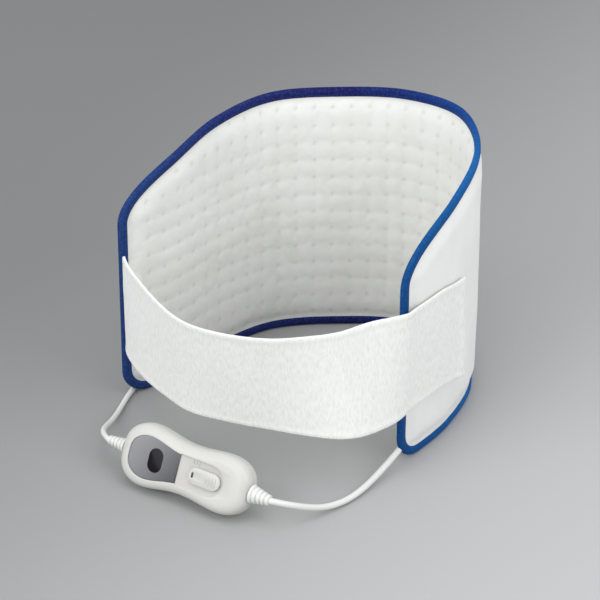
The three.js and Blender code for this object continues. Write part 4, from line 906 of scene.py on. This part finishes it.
def slab(shape, low, high):
    """A closed upright slab of a flat outline."""
    return skin([at_height(shape, height) for height in (low, high)])


def crowned(height, span):
    """Levels from the parting line to the crown: upright at the line, level at the crown."""
    start = PARTING_HALF * np.sign(height)
    shares = np.linspace(0, 1, CROWN_STEPS) ** CROWN_CLOSENESS
    rises = (1 - (1 - shares) ** 3) ** CROWN_FULLNESS
    return list(zip(start + (height - start) * rises, span * shares))


def hollow(height, span):
    """The room inside a half shell: its levels drawn in by the wall, from just past the parting line."""
    side = np.sign(height)
    levels = crowned(height - side * CASE_WALL, span)
    past = -side * PAST_PARTING
    return loft([(z if side * z > PAST_PARTING else past, inset + CASE_WALL) for z, inset in levels])


def solid(name, closed, look=None):
    """An object of a closed skin's points and faces, its faces turned outwards."""
    return outward(mesh_object(name, *closed, look))


def cut(made, shapes):
    """Cuts closed skins out of a piece."""
    tools = [solid("cutter", shape) for shape in shapes]
    for tool in tools:
        modifier = made.modifiers.new("cut", "BOOLEAN")
        modifier.operation = "DIFFERENCE"
        modifier.solver = "EXACT"
        modifier.object = tool
    applied(made)
    for tool in tools:
        bpy.data.objects.remove(tool)
    return made


def sharpened(made, degrees=SHARP_ANGLE):
    """Shades a smooth piece sharp where it turns by more than an angle."""
    made.data.set_sharp_from_angle(angle=np.radians(degrees))
    return made


def eased_edges(made, width):
    """Rounds a hard piece's edges a little, as a mould does, and shades it smooth between them."""
    bevel = made.modifiers.new("edges", "BEVEL")
    bevel.width = width * MM
    bevel.segments = 2
    bevel.limit_method = "ANGLE"
    bevel.angle_limit = np.radians(EDGE_ANGLE)
    applied(made)
    made.data.shade_smooth()
    return sharpened(made)


def placed(made, place=case_place):
    """Moves a piece built in millimetres to its place, the controller's if no other is given, in its mesh."""
    made.data.transform(Matrix.Diagonal((MM, MM, MM, 1)))
    made.data.transform(place)
    return made


def arc_points(x, y, radius, start, end, count=24):
    """Points on an arc about a centre, between two angles in degrees."""
    angle = np.radians(np.linspace(start, end, count))
    return np.stack([x + radius * np.cos(angle), y + radius * np.sin(angle)], -1)


def circle(x, y, radius, count):
    """Points round a full circle."""
    return arc_points(x, y, radius, 0, 360 - 360 / count, count)


def stadium(centre, long, wide, across=False, count=24):
    """An outline with two half-round ends, along the case or across it."""
    straight = (long - wide) / 2
    ends = ((straight, -90, 90), (-straight, 90, 270))
    shape = np.vstack([arc_points(x, 0, wide / 2, start, end, count) for x, start, end in ends])
    if across:
        shape = np.stack([-shape[:, 1], shape[:, 0]], -1)
    return shape + [centre, 0]


def panel_outline(inset):
    """The head's outline drawn in, and cut straight across beside the slide field."""
    shape = case_outline(FACE_INSET + inset, count=256)
    half = half_width(np.array(PANEL_END)) - FACE_INSET - inset
    end = PANEL_END - inset
    shape = shape[shape[:, 0] < end - CORNER_ROOM]
    upper, lower = shape[shape[:, 1] >= 0], shape[shape[:, 1] < 0]
    return np.vstack([[[end, -half], [end, half]], upper, lower])


def slide_field():
    """The sunk field beside the panel, round at the tail end."""
    radius = RECESS_WIDTH / 2
    start = PANEL_END - FIELD_OVERLAP
    bow = arc_points(RECESS_END - radius, 0, radius, -90, 90)
    return np.vstack([[[start, -radius]], bow, [[start, radius]]])


# Satin ABS: spark-eroded mould texture, a soft broad highlight on warm white, grain drawn at 0.6 mm.
# Etched ABS: the sunk floor's coarser etching, duller than the case,
# and painted a little darker as shade in the recess.
satin_abs = moulded("satin_white_abs", "#c8c7c2", "#d2d1cc", 0.6, 0.36)
etched_and_shaded_abs = moulded("etched_white_abs_painted_shade", "#c1bfba", "#cbc9c4", 0.5, 0.5)
slot_long = KNOB_TRAVEL + STEM_LONG + 2 * CLEARANCE
slot_shape = stadium(stem_x - KNOB_TRAVEL / 2, slot_long, STEM_WIDE + 2 * CLEARANCE, count=6)
window_hole = stadium(WINDOW_X, WINDOW_LONG - WINDOW_LEDGE, WINDOW_WIDE - WINDOW_LEDGE, across=True)
mouths = skin([lengthwise(x, circle(0, 0, MOUTH_RADIUS, MOUTH_SIDES)) for x in (-MOUTH_REACH, MOUTH_REACH)])
top_case = cut(solid("case_top", loft(crowned(CASE_TOP, TOP_SPAN)), satin_abs), [
    hollow(CASE_TOP, TOP_SPAN),
    slab(panel_outline(0), FACE_FLOOR, CASE_TOP + CUT_SPARE),
    slab(slide_field(), FACE_FLOOR, CASE_TOP + CUT_SPARE),
    slab(window_hole, CUT_FLOOR, CASE_TOP + CUT_SPARE),
    slab(slot_shape, CUT_FLOOR, CASE_TOP + CUT_SPARE),
    mouths,
])
top_case.data.materials.clear()
for look in (satin_abs, etched_and_shaded_abs):
    top_case.data.materials.append(look)
# The sunk floor's faces take the etched finish with its painted recess shade
for face in top_case.data.polygons:
    face.material_index = int(abs(face.center.z - FACE_FLOOR) < FLOOR_TOLERANCE)
eased_edges(placed(top_case), EDGE_ROUND)
fit(top_case, "belt", "case_plastic", "controller_top_shell")

wells = [slab(circle(x, y, SCREW_HEAD / 2, 24), -CASE_BOTTOM - CUT_SPARE, CUT_SPARE)
         for x in (-SCREW_X, SCREW_X) for y in (-SCREW_Y, SCREW_Y)]
bottom_case = cut(solid("case_bottom", loft(crowned(-CASE_BOTTOM, BOTTOM_SPAN)), satin_abs),
                  [hollow(-CASE_BOTTOM, BOTTOM_SPAN), mouths, *wells])
eased_edges(placed(bottom_case), EDGE_ROUND)
fit(bottom_case, "belt", "case_plastic", "controller_bottom_shell")

# Circuit board and what it carries: the case hides them, so their nodes stay as the source has them.
# Solder mask, moulded housings, glass and PVC each get their own finish: even colours, half dull, and
# glossy only on the glass.
dress([f"case_screw_{number}" for number in (1, 2, 3, 4)] + ["detent_spring"], plated_steel)
dress(["circuit_board"], moulded("green_solder_mask", "#275c36", "#347546", 1.5, 0.45))
dress(["led_display", "triac", "slide_switch_body", "switch_carriage"], black_moulding)
dress(["film_capacitor"], moulded("yellow_epoxy", "#cfa632", "#dfbb4b", 0.8, 0.4))
dress(["mains_terminal", "pad_terminal"], moulded("green_polyamide", "#38824f", "#469a62", 0.8, 0.5))
dress(["fuse"], moulded("fuse_glass", "#d5dcdc", "#e6ebeb", 2.0, 0.12))
dress(["mains_core_brown", "pad_core_brown"], moulded("brown_pvc", "#5f3a20", "#75492c", 0.8, 0.5))
dress(["mains_core_blue", "pad_core_blue"], moulded("blue_pvc", "#3257a2", "#4168ba", 0.8, 0.5))

# Display panel: a grey satin-lacquered plate set into the head, slightly domed, with a painted reflection
# that makes it lighter at the round end.
# An oval black acrylic window lies across it, over the unlit display.
PANEL_RIM, PANEL_CROWN = 11.9, 12.5
WINDOW_RIM, WINDOW_CROWN = 12.6, 12.95
PLATE_SHARES = [1, 1, 0.985, 0.95, 0.85, 0.7, 0.5, 0.3, 0.12]
RIM_ROUND = 0.15
PANEL_HEAD, FLAKE = -64, 0.4


def domed_plate(name, outline, rim, crown, look):
    """A plate about the window's middle, with an upright edge and a top that domes from rim to crown."""
    centre = np.array([WINDOW_X, 0.0])
    heights = [FACE_FLOOR + CLEARANCE, rim - RIM_ROUND, rim]
    heights += [rim + (crown - rim) * (1 - share**2) for share in PLATE_SHARES[3:]]
    rings = [at_height(centre + (outline - centre) * share, z) for share, z in zip(PLATE_SHARES, heights)]
    points, faces = skin(rings)
    return sharpened(placed(outward(mesh_object(name, points, faces, look, points * MM))))


# Satin lacquer: fine metal flake in grey paint, with a soft metallic gloss, flake drawn at 0.4 mm.
# Its grey is painted lighter towards the head's round end as a reflection.
satin_lacquer, tree = begin("grey_satin_lacquer", {"Roughness": 0.34, "Metallic": 0.25})
spot = add(tree, "ShaderNodeAttribute", attribute_name="lay")
parts = add(tree, "ShaderNodeSeparateXYZ", {"Vector": (spot, "Vector")})
# Painted reflection: the grey lightens from beside the slide field towards the head's round end
fade = add(tree, "ShaderNodeMapRange", {
    "Value": (parts, "X"), "From Min": PANEL_HEAD * MM, "From Max": PANEL_END * MM})
tint = add(tree, "ShaderNodeValToRGB", {"Fac": (fade, "Result")})
stain(tint, "#8e8e92", "#494a4d")
flake = add(tree, "ShaderNodeTexNoise", {
    "Vector": (spot, "Vector"), "Scale": 1 / (FLAKE * MM), "Detail": 2.0})
sparkle = add(tree, "ShaderNodeBump", {"Height": (flake, "Fac"), "Strength": 0.1, "Distance": 0.02 * MM})
join(tree, {"Base Color": (tint, "Color"), "Normal": (sparkle, "Normal")})

panel_plate = domed_plate("panel_plate", panel_outline(CLEARANCE), PANEL_RIM, PANEL_CROWN, satin_lacquer)
fit(panel_plate, "belt", "panel_plastic", "display_panel")
# Black acrylic: polished and nearly black all through, with small sharp reflections
black_acrylic = moulded("black_acrylic", "#0b080c", "#120d13", 3.0, 0.16, shine=0.15)
window_shape = stadium(WINDOW_X, WINDOW_LONG, WINDOW_WIDE, across=True)
window_lens = domed_plate("window_lens", window_shape, WINDOW_RIM, WINDOW_CROWN, black_acrylic)
fit(window_lens, "belt", "window_plastic", "display_window")

# Slide knob: a round-ended white thumb piece that runs in the sunk field, with four grip ribs at its outer
# end and a small dark pointer slot at its inner end.
KNOB_TOP, KNOB_ROUND = 13.9, 0.5
RIB_PITCH, RIB_COUNT, RIB_SIZE = 3.2, 4, (1.2, 0.62 * KNOB_WIDE, 1.6)
POINTER_LONG, POINTER_WIDE, POINTER_DEEP, POINTER_ROUND = 5.4, 2.2, 1.2, 0.1
pointer_x = KNOB_REST - KNOB_LONG + KNOB_WIDE / 4
pointer_floor = KNOB_TOP - POINTER_DEEP
pointer_shape = stadium(pointer_x, POINTER_LONG, POINTER_WIDE, across=True, count=8)
thumb_shape = slab(stadium(stem_x, KNOB_LONG, KNOB_WIDE), FACE_FLOOR + CLEARANCE, KNOB_TOP)
pointer_slot = slab(pointer_shape, pointer_floor, KNOB_TOP + CUT_SPARE)
slide_thumb = cut(solid("slide_thumb", thumb_shape, satin_abs), [pointer_slot])
eased_edges(placed(slide_thumb), KNOB_ROUND)
fit(slide_thumb, "slider", "case_plastic", "slide_knob")
# Painted shade: a warm near-black filling, half glossy, in the pointer's slot, standing in for the shade deep
# in it
painted_slot_shade = moulded("painted_slot_shade", "#3a3537", "#4b4648", 0.4, 0.4)
fill_shape = stadium(pointer_x, POINTER_LONG - CLEARANCE, POINTER_WIDE - CLEARANCE, across=True, count=8)
pointer_slot_shade = solid("pointer_slot_shade", slab(fill_shape, pointer_floor, KNOB_TOP - CLEARANCE), painted_slot_shade)
eased_edges(placed(pointer_slot_shade), POINTER_ROUND)
fit(pointer_slot_shade, "slider", "component")


def rib_tree():
    """Geometry nodes that stand equal rounded bars in a row."""
    made, given = begin_tree("moulded_ribs", {
        "Count": "Int", "Start": "Vector", "Step": "Vector", "Size": "Vector"})
    row = add(made, "GeometryNodeMeshLine", {
        "Count": (given, "Count"), "Start Location": (given, "Start"), "Offset": (given, "Step")})
    bar = add(made, "GeometryNodeMeshUVSphere", {"Segments": 12, "Rings": 8, "Radius": 0.5})
    bars = add(made, "GeometryNodeInstanceOnPoints", {
        "Points": (row, "Mesh"), "Instance": (bar, "Mesh"), "Scale": (given, "Size")})
    return end_tree(made, given, bars)


moulded_ribs = rib_tree()
grip_ribs = grown(drawn("grip_ribs"), moulded_ribs, {
    "Count": RIB_COUNT, "Start": (KNOB_REST - KNOB_WIDE / 2 + RIB_PITCH, 0, KNOB_TOP),
    "Step": (-RIB_PITCH, 0, 0), "Size": RIB_SIZE, "Look": satin_abs})
fit(placed(grip_ribs), "slider", "case_plastic")

# Level marks: three short bars beside the slide, one for each heat step.
# They are moulded a hair's breadth out of the floor of the sunk field, and inked grey.
MARK_COUNT, MARK_PITCH, MARK_SIZE = 3, 3.1, (0.9, 4.2, 0.8)
MARK_X, MARK_Y = 9.5, 11.6
# Marking ink: a thin flat grey film, half dull
grey_print = moulded("grey_marking_ink", "#a8a6a1", "#b6b4af", 0.4, 0.5)
level_marks = grown(drawn("level_marks"), moulded_ribs, {
    "Count": MARK_COUNT, "Start": (MARK_X, MARK_Y, FACE_FLOOR), "Step": (MARK_PITCH, 0, 0),
    "Size": MARK_SIZE, "Look": grey_print})
fit(placed(level_marks), "belt", "case_plastic")

# Strain relief boots: soft white PVC, moulded onto the leads, tapering and ribbed so that they bend evenly.
# A neck is held in the case's end, and the tail outside gets thinner towards the lead.
BOOT_LENGTH, BOOT_NECK, NECK_LENGTH, NECK_STEP = 18.5, 5.6, 3.0, 0.1
BOOT_ROOT, BOOT_TIP = (7.4, 9.2), (4.2, 5.0)
BOOT_RIBS, BOOT_SLIT, BOOT_LIP = 4, 1.5, 0.4
BOOT_TAPER = 0.8
# The slits' part of each rib's length, and the shares of the tail where they start and end
SLIT_CUT, SLIT_START, SLIT_END = 0.25, (0.03, 0.1), (0.9, 0.97)
# Soft PVC: smooth and slightly waxy, a cooler and cleaner white than the case
soft_pvc = moulded("soft_white_pvc", "#dededb", "#e8e8e5", 0.8, 0.42)


def turned_piece(name, profile, look, sides=40):
    """A turned piece on the X axis, from (radius, distance) pairs, closed at both ends."""
    return solid(name, skin([lengthwise(x, circle(0, 0, radius, sides)) for radius, x in profile]), look)


def slits(share, phase, depth, power):
    """How deep the slits between a boot's ribs go along its tail, which is plain at both ends."""
    wave = np.cos(2 * np.pi * (share * (BOOT_RIBS + 0.5) - phase))
    slit = np.clip(wave - SLIT_CUT, 0, 1) / (1 - SLIT_CUT)
    return depth * slit**power * eased(share, *SLIT_START) * (1 - eased(share, *SLIT_END))


def boot_profile(root, tip):
    """Neck and ribbed tail of a boot: each rib is a smooth swelling between two slits."""
    share = np.linspace(0, 1, 97)
    tail = root + (tip - root) * share**BOOT_TAPER - slits(share, phase=0.75, depth=BOOT_SLIT, power=0.5)
    neck = [(BOOT_NECK, -NECK_LENGTH), (BOOT_NECK, CLEARANCE - NECK_STEP)]
    ribbed = [(radius, CLEARANCE + BOOT_LENGTH * s) for radius, s in zip(tail, share)]
    return neck + ribbed + [(tip - BOOT_LIP, CLEARANCE + BOOT_LIP + BOOT_LENGTH)]


for side, name, node in ((0, "boot_to_mains", "mains_boot"), (1, "boot_to_pad", "pad_boot")):
    boot = turned_piece(name, boot_profile(BOOT_ROOT[side], BOOT_TIP[side]), soft_pvc)
    if side == 0:
        boot.data.transform(Matrix.Rotation(np.pi, 4, "Z"))
    boot.data.transform(Matrix.Translation(((2 * side - 1) * CASE_LENGTH / 2, 0, 0)))
    sharpened(placed(boot), SOFT_ANGLE)
    fit(boot, "belt", "lead_sheath", node)

# Pad lead: a round white PVC lead from the right boot, along the table, and up into the pad's lower right
# corner. It carries both heating cores and the sensor core.
PAD_LEAD = 6
PAD_LEAD_ROUTE = [[2, -194, 19], [18, -183, 8.5], [36, -171, 3.4], [54, -155, 3.4], [72, -131, 6]]
ENTRY_SLOPE, ENTRY_GAP = np.radians(25), 0.6
LEAD_TUCK = 1.5
EASING_PASSES = 40
boot_tip = CASE_LENGTH / 2 + CLEARANCE + BOOT_LENGTH


def in_case(x):
    """A place on the controller's own long axis, in millimetres of the part's frame."""
    place = np.array(case_place)
    return (x * MM * place[:3, 0] + place[:3, 3]) / MM


def lead(name, points, diameter, look):
    """A round lead as one open curve through points in millimetres."""
    curve = bpy.data.curves.new(name, "CURVE")
    curve.dimensions = "3D"
    spline = curve.splines.new("POLY")
    spline.points.add(len(points) - 1)
    spline.points.foreach_set("co", np.column_stack([points * MM, np.ones(len(points))]).ravel())
    spline.use_smooth = True
    curve.bevel_depth = diameter * MM / 2
    curve.bevel_resolution = 5
    curve.use_fill_caps = True
    curve.materials.append(look)
    return linked(name, curve)


def unkinked(route, per_span, count):
    """Equal steps on a smooth line through a route, with its bends eased: each pass draws the inner points
    towards the middle of their neighbours."""
    line = spaced(smooth_line(route, per_span), count)[0]
    for _ in range(EASING_PASSES):
        line[2:-2] += 0.5 * ((line[1:-3] + line[3:-1]) / 2 - line[2:-2])
    return line


edge_in, edge_up = CORNER * (1 - np.cos(ENTRY_SLOPE)), CORNER * (1 - np.sin(ENTRY_SLOPE))
pad_end, pad_in = (on_line(belt_line, np.array(place), 0.0, 0.0) / MM for place in (0, BINDING_WIDTH))
away = (pad_end - pad_in) / np.linalg.norm(pad_end - pad_in)
normal = away * np.cos(ENTRY_SLOPE) - np.array([0, 0, np.sin(ENTRY_SLOPE)])
entry = on_line(belt_line, np.array(edge_in), edge_up, 0.0) / MM + ENTRY_GAP * normal
lead_shift = np.array([*ORIGIN, 0])
lead_start = [in_case(boot_tip - LEAD_TUCK), in_case(boot_tip + PAD_LEAD)]
pad_route = [*lead_start, *(np.array(PAD_LEAD_ROUTE) + lead_shift), entry + PAD_LEAD * normal, entry]
pad_points, pad_lead_length = spaced(unkinked(pad_route, per_span=40, count=60), count=60)
pad_cord = lead("pad_cord", pad_points, PAD_LEAD, soft_pvc)
fit(pad_cord, "belt", "lead_sheath", "pad_lead")

# Plug: a flat two-pin moulded plug at the far end of the mains lead, lying behind the belt.
# The body is soft PVC over a hard core, drawn in at the neck, with a ribbed boot of its own.
MAINS_LEAD = 5
COIL_CENTRE = np.array([-86, 152])
COIL_RADIUS, COIL_TURNS, COIL_LAYERS, COIL_STEP, COIL_LIFT = 32.5, 7.25, 4, 5.7, 1.8
PER_TURN, CROSSING = 24, 0.25
TAIL_LENGTH = 46
PLUG_LONG, PLUG_HIGH, PLUG_BOOT, PLUG_SLIT = 34, 13.7, 18, 0.8
TAIL_WALL, TAIL_STEP, TAIL_LIP = 1, 1.2, 0.5
# Distance along the body, width and height of each section
PLUG_SECTIONS = [(0, 12, 10.6), (0.8, 13.6, 11.6), (3, 15.4, 12.2), (9, 19.5, 12.8), (16, 26.5, 13.2),
                 (22, 32.5, 13.3), (27, 34.6, 13.3), (31.5, 34.8, 13.3), (33.3, 34.0, 12.7), (34, 32.2, 11.4)]
PLUG_SIDES, PLUG_ROUND = 56, 0.45
GRIP_COUNT, GRIP_START, GRIP_PITCH, GRIP_SIZE = 4, (PLUG_BOOT + 14, 0, 6.4), 3.6, (1.6, 16, 1.4)
PIN_GAP, PIN_TUCK, PIN_SIDES = 18.6, 0.5, 24
# Radius of each turn on a pin and on its sleeve, and its distance from the pin's root
PIN_PROFILE = [(1.2, 0), (2, 0), (2, 18), (1.6, 19), (0.8, 19.4)]
SLEEVE_PROFILE = [(1.2, 0), (1.95, 0), (1.95, 9.6), (1.2, 10)]
SLEEVE_GROWTH = 1.04
turns = np.linspace(0, COIL_TURNS, round(COIL_TURNS * PER_TURN) + 1)
per_layer = COIL_TURNS / COIL_LAYERS
level = np.minimum(np.floor(turns / per_layer), COIL_LAYERS - 1)
along = turns - level * per_layer
radius = COIL_RADIUS - COIL_STEP * np.where(level % 2 == 0, along, per_layer - along)
climb = 0.5 * eased(along, per_layer - CROSSING, per_layer) * (level < COIL_LAYERS - 1)
climb -= 0.5 * (1 - eased(along, 0, CROSSING)) * (level > 0)
angle = np.pi - 2 * np.pi * turns
coil = np.stack([COIL_CENTRE[0] + radius * np.cos(angle), COIL_CENTRE[1] + radius * np.sin(angle),
                 COIL_LIFT + MAINS_LEAD / 2 + (level + climb) * COIL_STEP], -1) + lead_shift
leave = (coil[-1] - coil[-2]) * [1, 1, 0]
leave /= np.linalg.norm(leave)
plug_start = coil[-1] + TAIL_LENGTH * leave
plug_start[2] = PLUG_HIGH / 2
plug_turn = Matrix.Rotation(np.arctan2(leave[1], leave[0]), 4, "Z")
plug_place = Matrix.Translation(Vector(plug_start * MM)) @ plug_turn

share = np.linspace(0, 1, 81)
tip, root = MAINS_LEAD / 2 + TAIL_WALL, PLUG_HIGH / 2 - TAIL_STEP
swell = tip + (root - tip) * share - slits(share, phase=0.5, depth=PLUG_SLIT, power=0.6)
tail_profile = [(tip - TAIL_LIP, -CLEARANCE), *((r, PLUG_BOOT * s) for r, s in zip(swell, share))]
plug_tail_boot = placed(turned_piece("plug_tail_boot", tail_profile, soft_pvc), plug_place)
body_start = PLUG_BOOT + CLEARANCE
plug_shape = squared(PLUG_SIDES, PLUG_ROUND) / 2
body_rings = [lengthwise(body_start + x, plug_shape * [wide, high]) for x, wide, high in PLUG_SECTIONS]
plug_shell = sharpened(placed(solid("plug_shell", skin(body_rings), soft_pvc), plug_place), SOFT_ANGLE)
plug_grips = placed(grown(drawn("plug_grips"), moulded_ribs, {
    "Count": GRIP_COUNT, "Start": GRIP_START, "Step": (GRIP_PITCH, 0, 0), "Size": GRIP_SIZE,
    "Look": soft_pvc}), plug_place)
pin_start = body_start + PLUG_LONG - PIN_TUCK
for number, side in ((1, 1), (2, -1)):
    steel_pin = turned_piece(f"plug_blade_{number}", PIN_PROFILE, plated_steel, PIN_SIDES)
    sleeve = turned_piece(f"pin_sleeve_{number}", SLEEVE_PROFILE, soft_pvc, PIN_SIDES)
    sleeve.data.transform(Matrix.Diagonal((1, SLEEVE_GROWTH, SLEEVE_GROWTH, 1)))
    for piece in (steel_pin, sleeve):
        piece.data.transform(Matrix.Translation((pin_start, side * PIN_GAP / 2, 0)))
        sharpened(placed(piece, plug_place))
    fit(steel_pin, "belt", "steel", f"plug_pin_{number}")
    fit(sleeve, "belt", "lead_sheath")
fit(plug_tail_boot, "belt", "lead_sheath", "plug_boot")
fit(plug_shell, "belt", "lead_sheath", "plug_body")
fit(plug_grips, "belt", "lead_sheath")

# Coil tie: a narrow blue hook-and-loop band closed round the coil's bundle for storage.
# It is cut from the same tape as the binding.
TIE_HALF, TIE_EDGE, TIE_THICKNESS, TIE_CORNER = 4.5, 0.3, 1.2, 3
TIE_TURN = np.radians(-20)
BUNDLE_GAP = 0.6
CORNER_STEPS, TIE_PITCH, TIE_SHOULDER = 8, 2.5, 0.6
# Where each line round the tie lies on the flat tape
TIE_LAY = [0, 8, 9, 9, 0, 0]
bundle_out = COIL_RADIUS + MAINS_LEAD / 2 + BUNDLE_GAP
bundle_in = COIL_RADIUS - COIL_STEP * per_layer - MAINS_LEAD / 2 - BUNDLE_GAP
tie_low = COIL_LIFT - CLEARANCE
tie_high = COIL_LIFT + MAINS_LEAD + (COIL_LAYERS - 1) * COIL_STEP + CLEARANCE


def tie_section(grow):
    """The tie's rounded outline round the bundle, grown outwards."""
    corner = TIE_CORNER + grow
    left, right = bundle_in - grow + corner, bundle_out + grow - corner
    down, up = tie_low - grow + corner, tie_high + grow - corner
    centres = ((right, down), (right, up), (left, up), (left, down))
    starts = (-90, 0, 90, 180)
    return np.vstack([arc_points(*centre, corner, start, start + 90, CORNER_STEPS)
                      for centre, start in zip(centres, starts)])


outside, lining = tie_section(TIE_THICKNESS), tie_section(0)
shoulder = lining + (outside - lining) * TIE_SHOULDER
tie_lines = [(outside, TIE_EDGE - TIE_HALF), (outside, TIE_HALF - TIE_EDGE), (shoulder, TIE_HALF),
             (lining, TIE_HALF), (lining, -TIE_HALF), (shoulder, -TIE_HALF)]
tie_rings = np.stack([np.insert(shape, 1, y, axis=1) for shape, y in tie_lines], 1)
steps, lines = tie_rings.shape[:2]
# Its lay's third axis stays at zero, so it takes the tape's painted colour from the pad's right end
tie_lay = np.stack([np.repeat(np.arange(steps) * TIE_PITCH, lines), np.tile(TIE_LAY, steps),
                    np.zeros(steps * lines)], -1) * MM
tie_faces = tube_faces(steps, lines, endless=True)
tie_band = mesh_object("tie_band", tie_rings.reshape(-1, 3), tie_faces, blue_tape, tie_lay)
tie_middle = Matrix.Translation(Vector((*((COIL_CENTRE + ORIGIN) * MM), 0)))
sharpened(placed(outward(tie_band), tie_middle @ Matrix.Rotation(TIE_TURN, 4, "Z")), SOFT_ANGLE)
fit(tie_band, "belt", "binding_tape", "coil_tie")

# Mains lead: a white PVC lead from the left boot, under the pad's rounded corner, to a neat stored coil.
# The coil lies close behind the belt, and its tail runs out to the plug.
MAINS_ROUTE = [[-184, -84, 24], [-181, -60, 13], [-174, -34, 4], [-167.5, -10, 3], [-161.3, 9.7, 3],
               [-152, 30, 3], [-140, 56, 3], [-126, 92, 3.4]]
straight_out = 2 * MAINS_LEAD
into = coil[1] - coil[0]
into /= np.linalg.norm(into)
lead_start = [in_case(LEAD_TUCK - boot_tip), in_case(-boot_tip - MAINS_LEAD)]
mains_route = [*lead_start, *(np.array(MAINS_ROUTE) + lead_shift), coil[0] - straight_out * into, coil[0]]
tail_run = straight_out * leave
tail_route = [coil[-1], coil[-1] + tail_run, plug_start - tail_run, plug_start + leave]
lead_in = unkinked(mains_route, per_span=40, count=90)
lead_out = unkinked(tail_route, per_span=30, count=24)
mains_points = np.vstack([lead_in[:-1], coil, lead_out[1:]])
mains_cord = lead("mains_cord", mains_points, MAINS_LEAD, soft_pvc)
fit(mains_cord, "belt", "lead_sheath", "mains_lead", "mains_coil", "plug_tail")

# Table and studio: a plain table, large soft lamps at the front right, front left and overhead, a pale sky
# that fills the shadows, and a long lens a little above the belt.
TABLE_REACH, TABLE_DROP = 6, -0.0005
TABLE_SLANT = (1.75, -0.97, 0)
AIM = Vector((0, 0, 0.1))
# Place in metres, width in metres and power in watts of each lamp
LAMPS = {
    "key": ((1.5, -1.3, 1.4), 1.6, 16),
    "fill": ((-1.6, -1.2, 1.2), 1.8, 22),
    "above": ((0.0, -0.5, 2.2), 1.6, 12),
}
SKY_STRENGTH = 0.78
# Table: dull and even in finish, with a painted light falloff from mid grey at the far left to pale grey at
# the near right
pale_table, tree = begin("pale_table", {"Roughness": 0.9, "Specular IOR Level": 0.1})
where = add(tree, "ShaderNodeTexCoord")
slant = add(tree, "ShaderNodeVectorMath", {0: (where, "Object"), 1: TABLE_SLANT}, operation="DOT_PRODUCT")
painted_falloff = add(tree, "ShaderNodeMapRange", {"Value": (slant, "Value"), "From Min": -1.0, "From Max": 1.0},
            interpolation_type="SMOOTHSTEP")
tint = add(tree, "ShaderNodeValToRGB", {"Fac": (painted_falloff, "Result")})
stain(tint, "#898989", "#bebebe")
join(tree, {"Base Color": (tint, "Color")})
table_sides = ((-1, -1), (1, -1), (1, 1), (-1, 1))
table_corners = [(x * TABLE_REACH, y * TABLE_REACH, TABLE_DROP) for x, y in table_sides]
table_top = mesh_object("table_top", table_corners, [(0, 1, 2, 3)], pale_table)
table_top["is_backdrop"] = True

for name, (place, size, watts) in LAMPS.items():
    light = bpy.data.lights.new(name, "AREA")
    light.shape = "DISK"
    light.size = size
    light.energy = watts
    lamp = linked(name, light)
    lamp.location = place
    lamp.rotation_euler = (AIM - Vector(place)).to_track_quat("-Z", "Y").to_euler()
world = bpy.data.worlds.new("studio")
world.use_nodes = True
sky = world.node_tree.nodes["Background"]
sky.inputs["Color"].default_value = linear("#e9ecef")
sky.inputs["Strength"].default_value = SKY_STRENGTH
bpy.context.scene.world = world
bpy.context.scene.view_settings.view_transform = "Standard"

# The camera's height angle, the point it looks at, and where that point lies in the photograph's frame
ELEVATION = np.radians(33.68)
TARGET = Vector((-0.01138, 0.05069, 0.10086))
PHOTO_SIZE, TARGET_PIXEL = 600, (282.56, 302.19)
DISTANCE, FRAME_WIDTH = 3.04, 0.57
SENSOR = 36
camera_data = bpy.data.cameras.new("camera")
camera_data.sensor_width = SENSOR
camera_data.lens = SENSOR * DISTANCE / FRAME_WIDTH
camera_data.shift_x = (PHOTO_SIZE / 2 - TARGET_PIXEL[0]) / PHOTO_SIZE
camera_data.shift_y = (TARGET_PIXEL[1] - PHOTO_SIZE / 2) / PHOTO_SIZE
camera = linked("camera", camera_data)
back = Vector((0, -np.cos(ELEVATION), np.sin(ELEVATION)))
camera.location = TARGET + DISTANCE * back
camera.rotation_euler = (-back).to_track_quat("-Z", "Y").to_euler()
bpy.context.scene.camera = camera

low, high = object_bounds()
